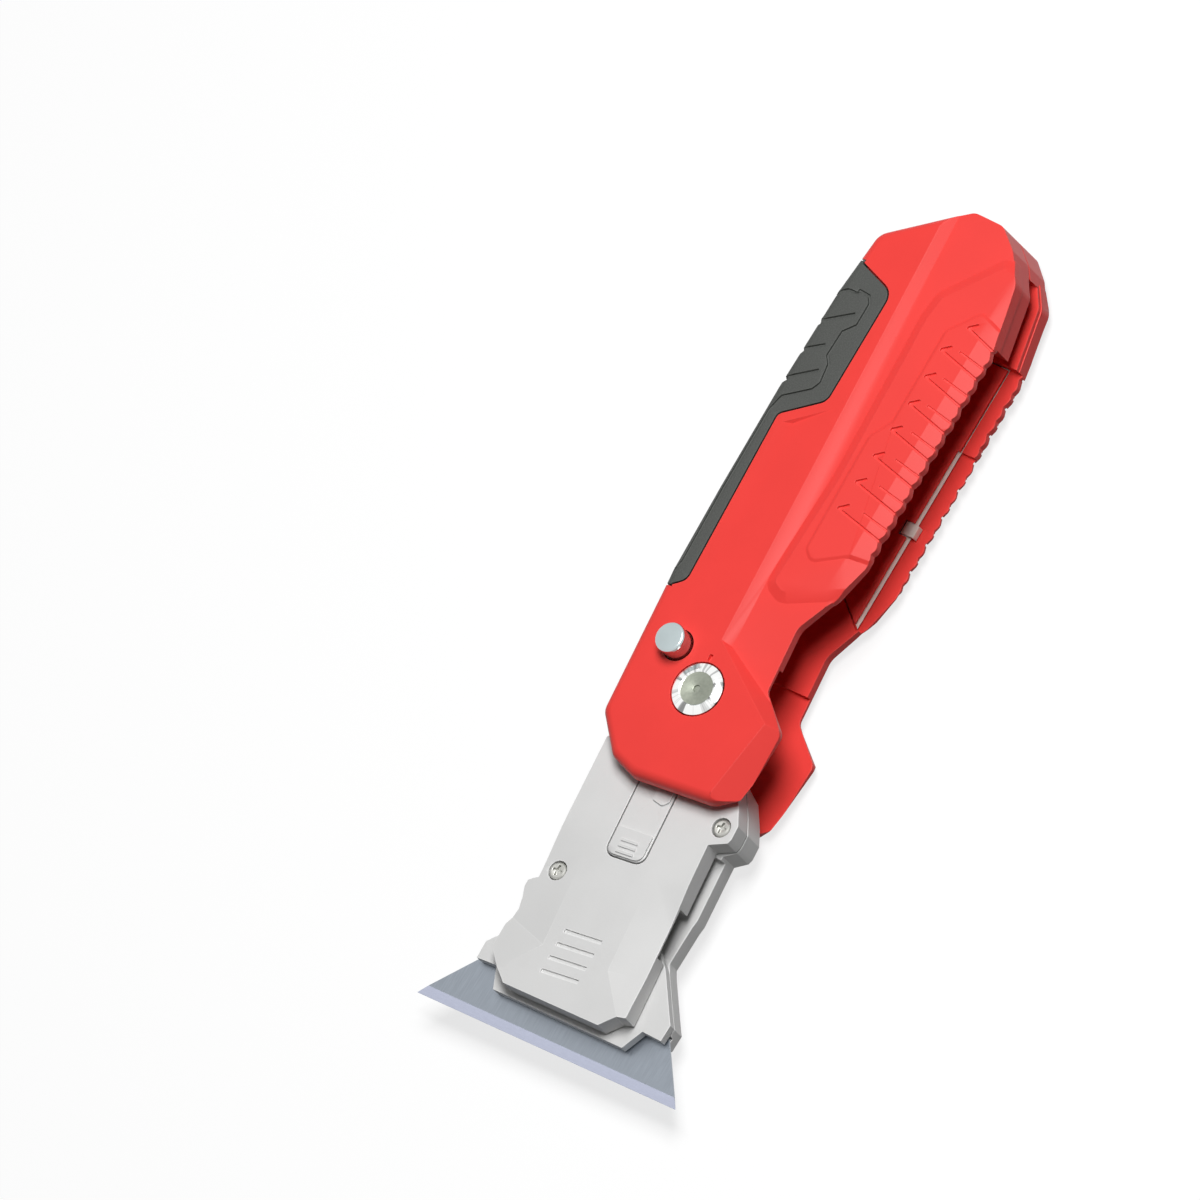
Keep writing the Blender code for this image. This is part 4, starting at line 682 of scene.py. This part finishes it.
class KNIFE_OT_lock(Operator):
    """Turn the lock button and dress its plunger and spring"""

    bl_idname = "knife.lock"
    bl_label = "Lock button"

    def execute(self, context):
        looks = context.scene.knife_finishes
        nickel = shared(button_metal, looks)
        steel = shared(plain_steel, looks)
        low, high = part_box("lock_button")
        radius = (high.x - low.x) / 2
        top = high.z
        neck = radius - BUTTON_NECK_INSET
        profile = [(radius * share, top - deep * MM) for share, deep in BUTTON_DOME]
        for step in range(BUTTON_ROUND_STEPS + 1):
            angle = pi / 2 * step / BUTTON_ROUND_STEPS
            reach = radius - BUTTON_ROUND + BUTTON_ROUND * sin(angle)
            profile.append((reach, top - BUTTON_DOME_DEEP - BUTTON_ROUND * (1 - cos(angle))))
        profile += [
            (radius, top - BUTTON_CAP_DEEP), (radius - BUTTON_LIP_INSET, top - BUTTON_LIP_DEEP),
            (neck, top - BUTTON_NECK_DEEP), (neck, low.z + BUTTON_FOOT),
            (neck - BUTTON_FOOT, low.z), (0, low.z),
        ]
        shape = lathe(profile, middle_of("lock_button"), looks.round_steps)
        add_piece(shape, "lock_button_turned", ["lock_button"], [nickel])
        dress("lock_plunger", steel)
        add_spring("lock_spring", "lock_press", steel)
        return {"FINISHED"}


class KNIFE_OT_head(Operator):
    """Dress the cast frame, cover and holder of the head"""

    bl_idname = "knife.head"
    bl_label = "Head castings"

    def execute(self, context):
        looks = context.scene.knife_finishes
        cast = shared(cast_metal, looks)
        for node in ("head_frame", "head_cover", "blade_holder"):
            shape = soften(solid_copy(node), looks.cast_edge)
            add_piece(
                shape, node + "_casting", [node], [cast],
                CAST_SMOOTH_ANGLE, CAST_CREASE_ANGLE,
            )
        return {"FINISHED"}


class KNIFE_OT_slider(Operator):
    """Dress the release slider and its spring"""

    bl_idname = "knife.slider"
    bl_label = "Release slider"

    def execute(self, context):
        looks = context.scene.knife_finishes
        cast = shared(slider_metal, looks)
        shape = soften(solid_copy("release_slider"), looks.slider_edge)
        add_piece(shape, "release_slider_casting", ["release_slider"], [cast])
        add_spring("slider_spring", "release_slide", shared(plain_steel, looks))
        return {"FINISHED"}


class KNIFE_OT_blades(Operator):
    """Dress the fitted blade and the spare"""

    bl_idname = "knife.blades"
    bl_label = "Blades"

    def execute(self, context):
        looks = context.scene.knife_finishes
        blades = (
            ("blade", "X", 0, looks.ground, EDGE_METAL),
            # The stored blade's edge takes the pale spare colour, a painted highlight in the
            # shaded channel
            ("spare_blade", "Y", 1, looks.spare, SPARE_GLINT_METAL),
        )
        for node, letter, place, colour, metal in blades:
            low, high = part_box(node)
            edge = high[place] - GROUND_WIDE
            material = blade_steel("look_" + node, looks, letter, edge, colour, metal)
            shape = soften(solid_copy(node), BLADE_EDGE, SMALL_ROUND_ANGLE, 1)
            add_piece(shape, node + "_ground", [node], [material])
        return {"FINISHED"}


class KNIFE_OT_fasteners(Operator):
    """Dress the screws, pins and clip"""

    bl_idname = "knife.fasteners"
    bl_label = "Fasteners"

    def execute(self, context):
        looks = context.scene.knife_finishes
        steel = shared(plain_steel, looks)
        screws = [f"shell_screw_{index}" for index in range(1, 5)]
        for node in ["head_screw_left", "head_screw_right"] + screws:
            shape = soften(solid_copy(node), SCREW_EDGE, SMALL_ROUND_ANGLE)
            add_piece(shape, node + "_turned", [node], [steel])
        for node in ("locating_pin_1", "locating_pin_2", "latch_pin_1", "latch_pin_2"):
            dress(node, steel)
        dress("store_clip", shared(clip_painted_glint, looks))
        return {"FINISHED"}


def add_light(name, spot, power, size):
    """Soft square light that faces the knife."""
    lamp = bpy.data.lights.new(name, "AREA")
    lamp.energy = power
    lamp.size = size
    light = bpy.data.objects.new(name, lamp)
    light.location = spot
    light.rotation_euler = (-Vector(spot)).to_track_quat("-Z", "Y").to_euler()
    bpy.context.scene.collection.objects.link(light)


class KNIFE_OT_stage(Operator):
    """Set the floor, the lights and the camera"""

    bl_idname = "knife.stage"
    bl_label = "Studio"

    def execute(self, context):
        scene = context.scene
        studio = scene.knife_studio
        scene.view_settings.view_transform = "Standard"

        shape = bmesh.new()
        bmesh.ops.create_grid(shape, x_segments=1, y_segments=1, size=studio.floor_size / 2)
        bmesh.ops.translate(shape, verts=shape.verts, vec=(0, 0, -FLOOR_GAP))
        mesh = bpy.data.meshes.new("floor")
        shape.to_mesh(mesh)
        shape.free()
        paper = Finish("floor_paper")
        paper.set("Base Color", (*[studio.floor_tone] * 3, 1))
        paper.set("Roughness", 0.9)
        paper.set("Specular IOR Level", 0.0)
        paper.set("Emission Color", (1, 1, 1, 1))
        paper.set("Emission Strength", studio.floor_glow)
        thrown_back = {"Color": (*[studio.bounce_tone] * 3, 1)}
        bounce = paper.value("ShaderNodeBsdfDiffuse", {}, thrown_back)
        seen = Value(paper, paper.shader.outputs[0])
        ends = {0: paper.seen_directly(), 1: bounce, 2: seen}
        both = paper.value("ShaderNodeMixShader", {}, ends)
        paper.node("ShaderNodeOutputMaterial", {"is_active_output": True}, {"Surface": both})
        mesh.materials.append(paper.material)
        floor = bpy.data.objects.new("floor", mesh)
        scene.collection.objects.link(floor)

        world = bpy.data.worlds.new("studio")
        scene.world = world
        world.use_nodes = True
        world.node_tree.nodes.clear()
        sky = Nodes(world.node_tree)
        level = studio.world_level
        strength = level + sky.seen_directly() * (1 - level)
        sockets = {"Color": (1, 1, 1, 1), "Strength": strength}
        white = sky.value("ShaderNodeBackground", {}, sockets)
        sky.node("ShaderNodeOutputWorld", {}, {"Surface": white})

        add_light("key", KEY_SPOT, studio.key_power, KEY_SIZE)
        add_light("gleam", GLEAM_SPOT, studio.gleam_power, GLEAM_SIZE)

        lens = bpy.data.cameras.new("photo_view")
        lens.type = "ORTHO"
        lens.ortho_scale = studio.view_wide
        lens.clip_start = CLIP_NEAR
        lens.clip_end = CLIP_FAR
        camera = bpy.data.objects.new("photo_view", lens)
        turn = Matrix((VIEW_RIGHT, VIEW_UP, VIEW_BACK)).transposed()
        camera.matrix_world = Matrix.Translation(VIEW_CENTRE + VIEW_BACK) @ turn.to_4x4()
        scene.collection.objects.link(camera)
        scene.camera = camera
        return {"FINISHED"}


class KNIFE_PT_looks(Panel):
    """Sizes, colours and steps of the knife's looks"""

    bl_idname = "KNIFE_PT_looks"
    bl_label = "Knife looks"
    bl_space_type = "VIEW_3D"
    bl_region_type = "UI"
    bl_category = "Knife"

    def draw(self, context):
        for group in (context.scene.knife_finishes, context.scene.knife_studio):
            for name in group.__annotations__:
                self.layout.prop(group, name)
        for step in STEPS:
            self.layout.operator(step.bl_idname)


STEPS = (
    KNIFE_OT_shells,
    KNIFE_OT_grips,
    KNIFE_OT_pivot,
    KNIFE_OT_lock,
    KNIFE_OT_head,
    KNIFE_OT_slider,
    KNIFE_OT_blades,
    KNIFE_OT_fasteners,
    KNIFE_OT_stage,
)
CLASSES = (KnifeFinishes, KnifeStudio, *STEPS, KNIFE_PT_looks)


def register():
    for item in CLASSES:
        bpy.utils.register_class(item)
    bpy.types.Scene.knife_finishes = PointerProperty(type=KnifeFinishes)
    bpy.types.Scene.knife_studio = PointerProperty(type=KnifeStudio)


def unregister():
    del bpy.types.Scene.knife_studio
    del bpy.types.Scene.knife_finishes
    for item in reversed(CLASSES):
        bpy.utils.unregister_class(item)


def main():
    register()
    bpy.ops.knife.shells()
    bpy.ops.knife.grips()
    bpy.ops.knife.pivot()
    bpy.ops.knife.lock()
    bpy.ops.knife.head()
    bpy.ops.knife.slider()
    bpy.ops.knife.blades()
    bpy.ops.knife.fasteners()
    bpy.ops.knife.stage()


if __name__ == "__main__":
    main()
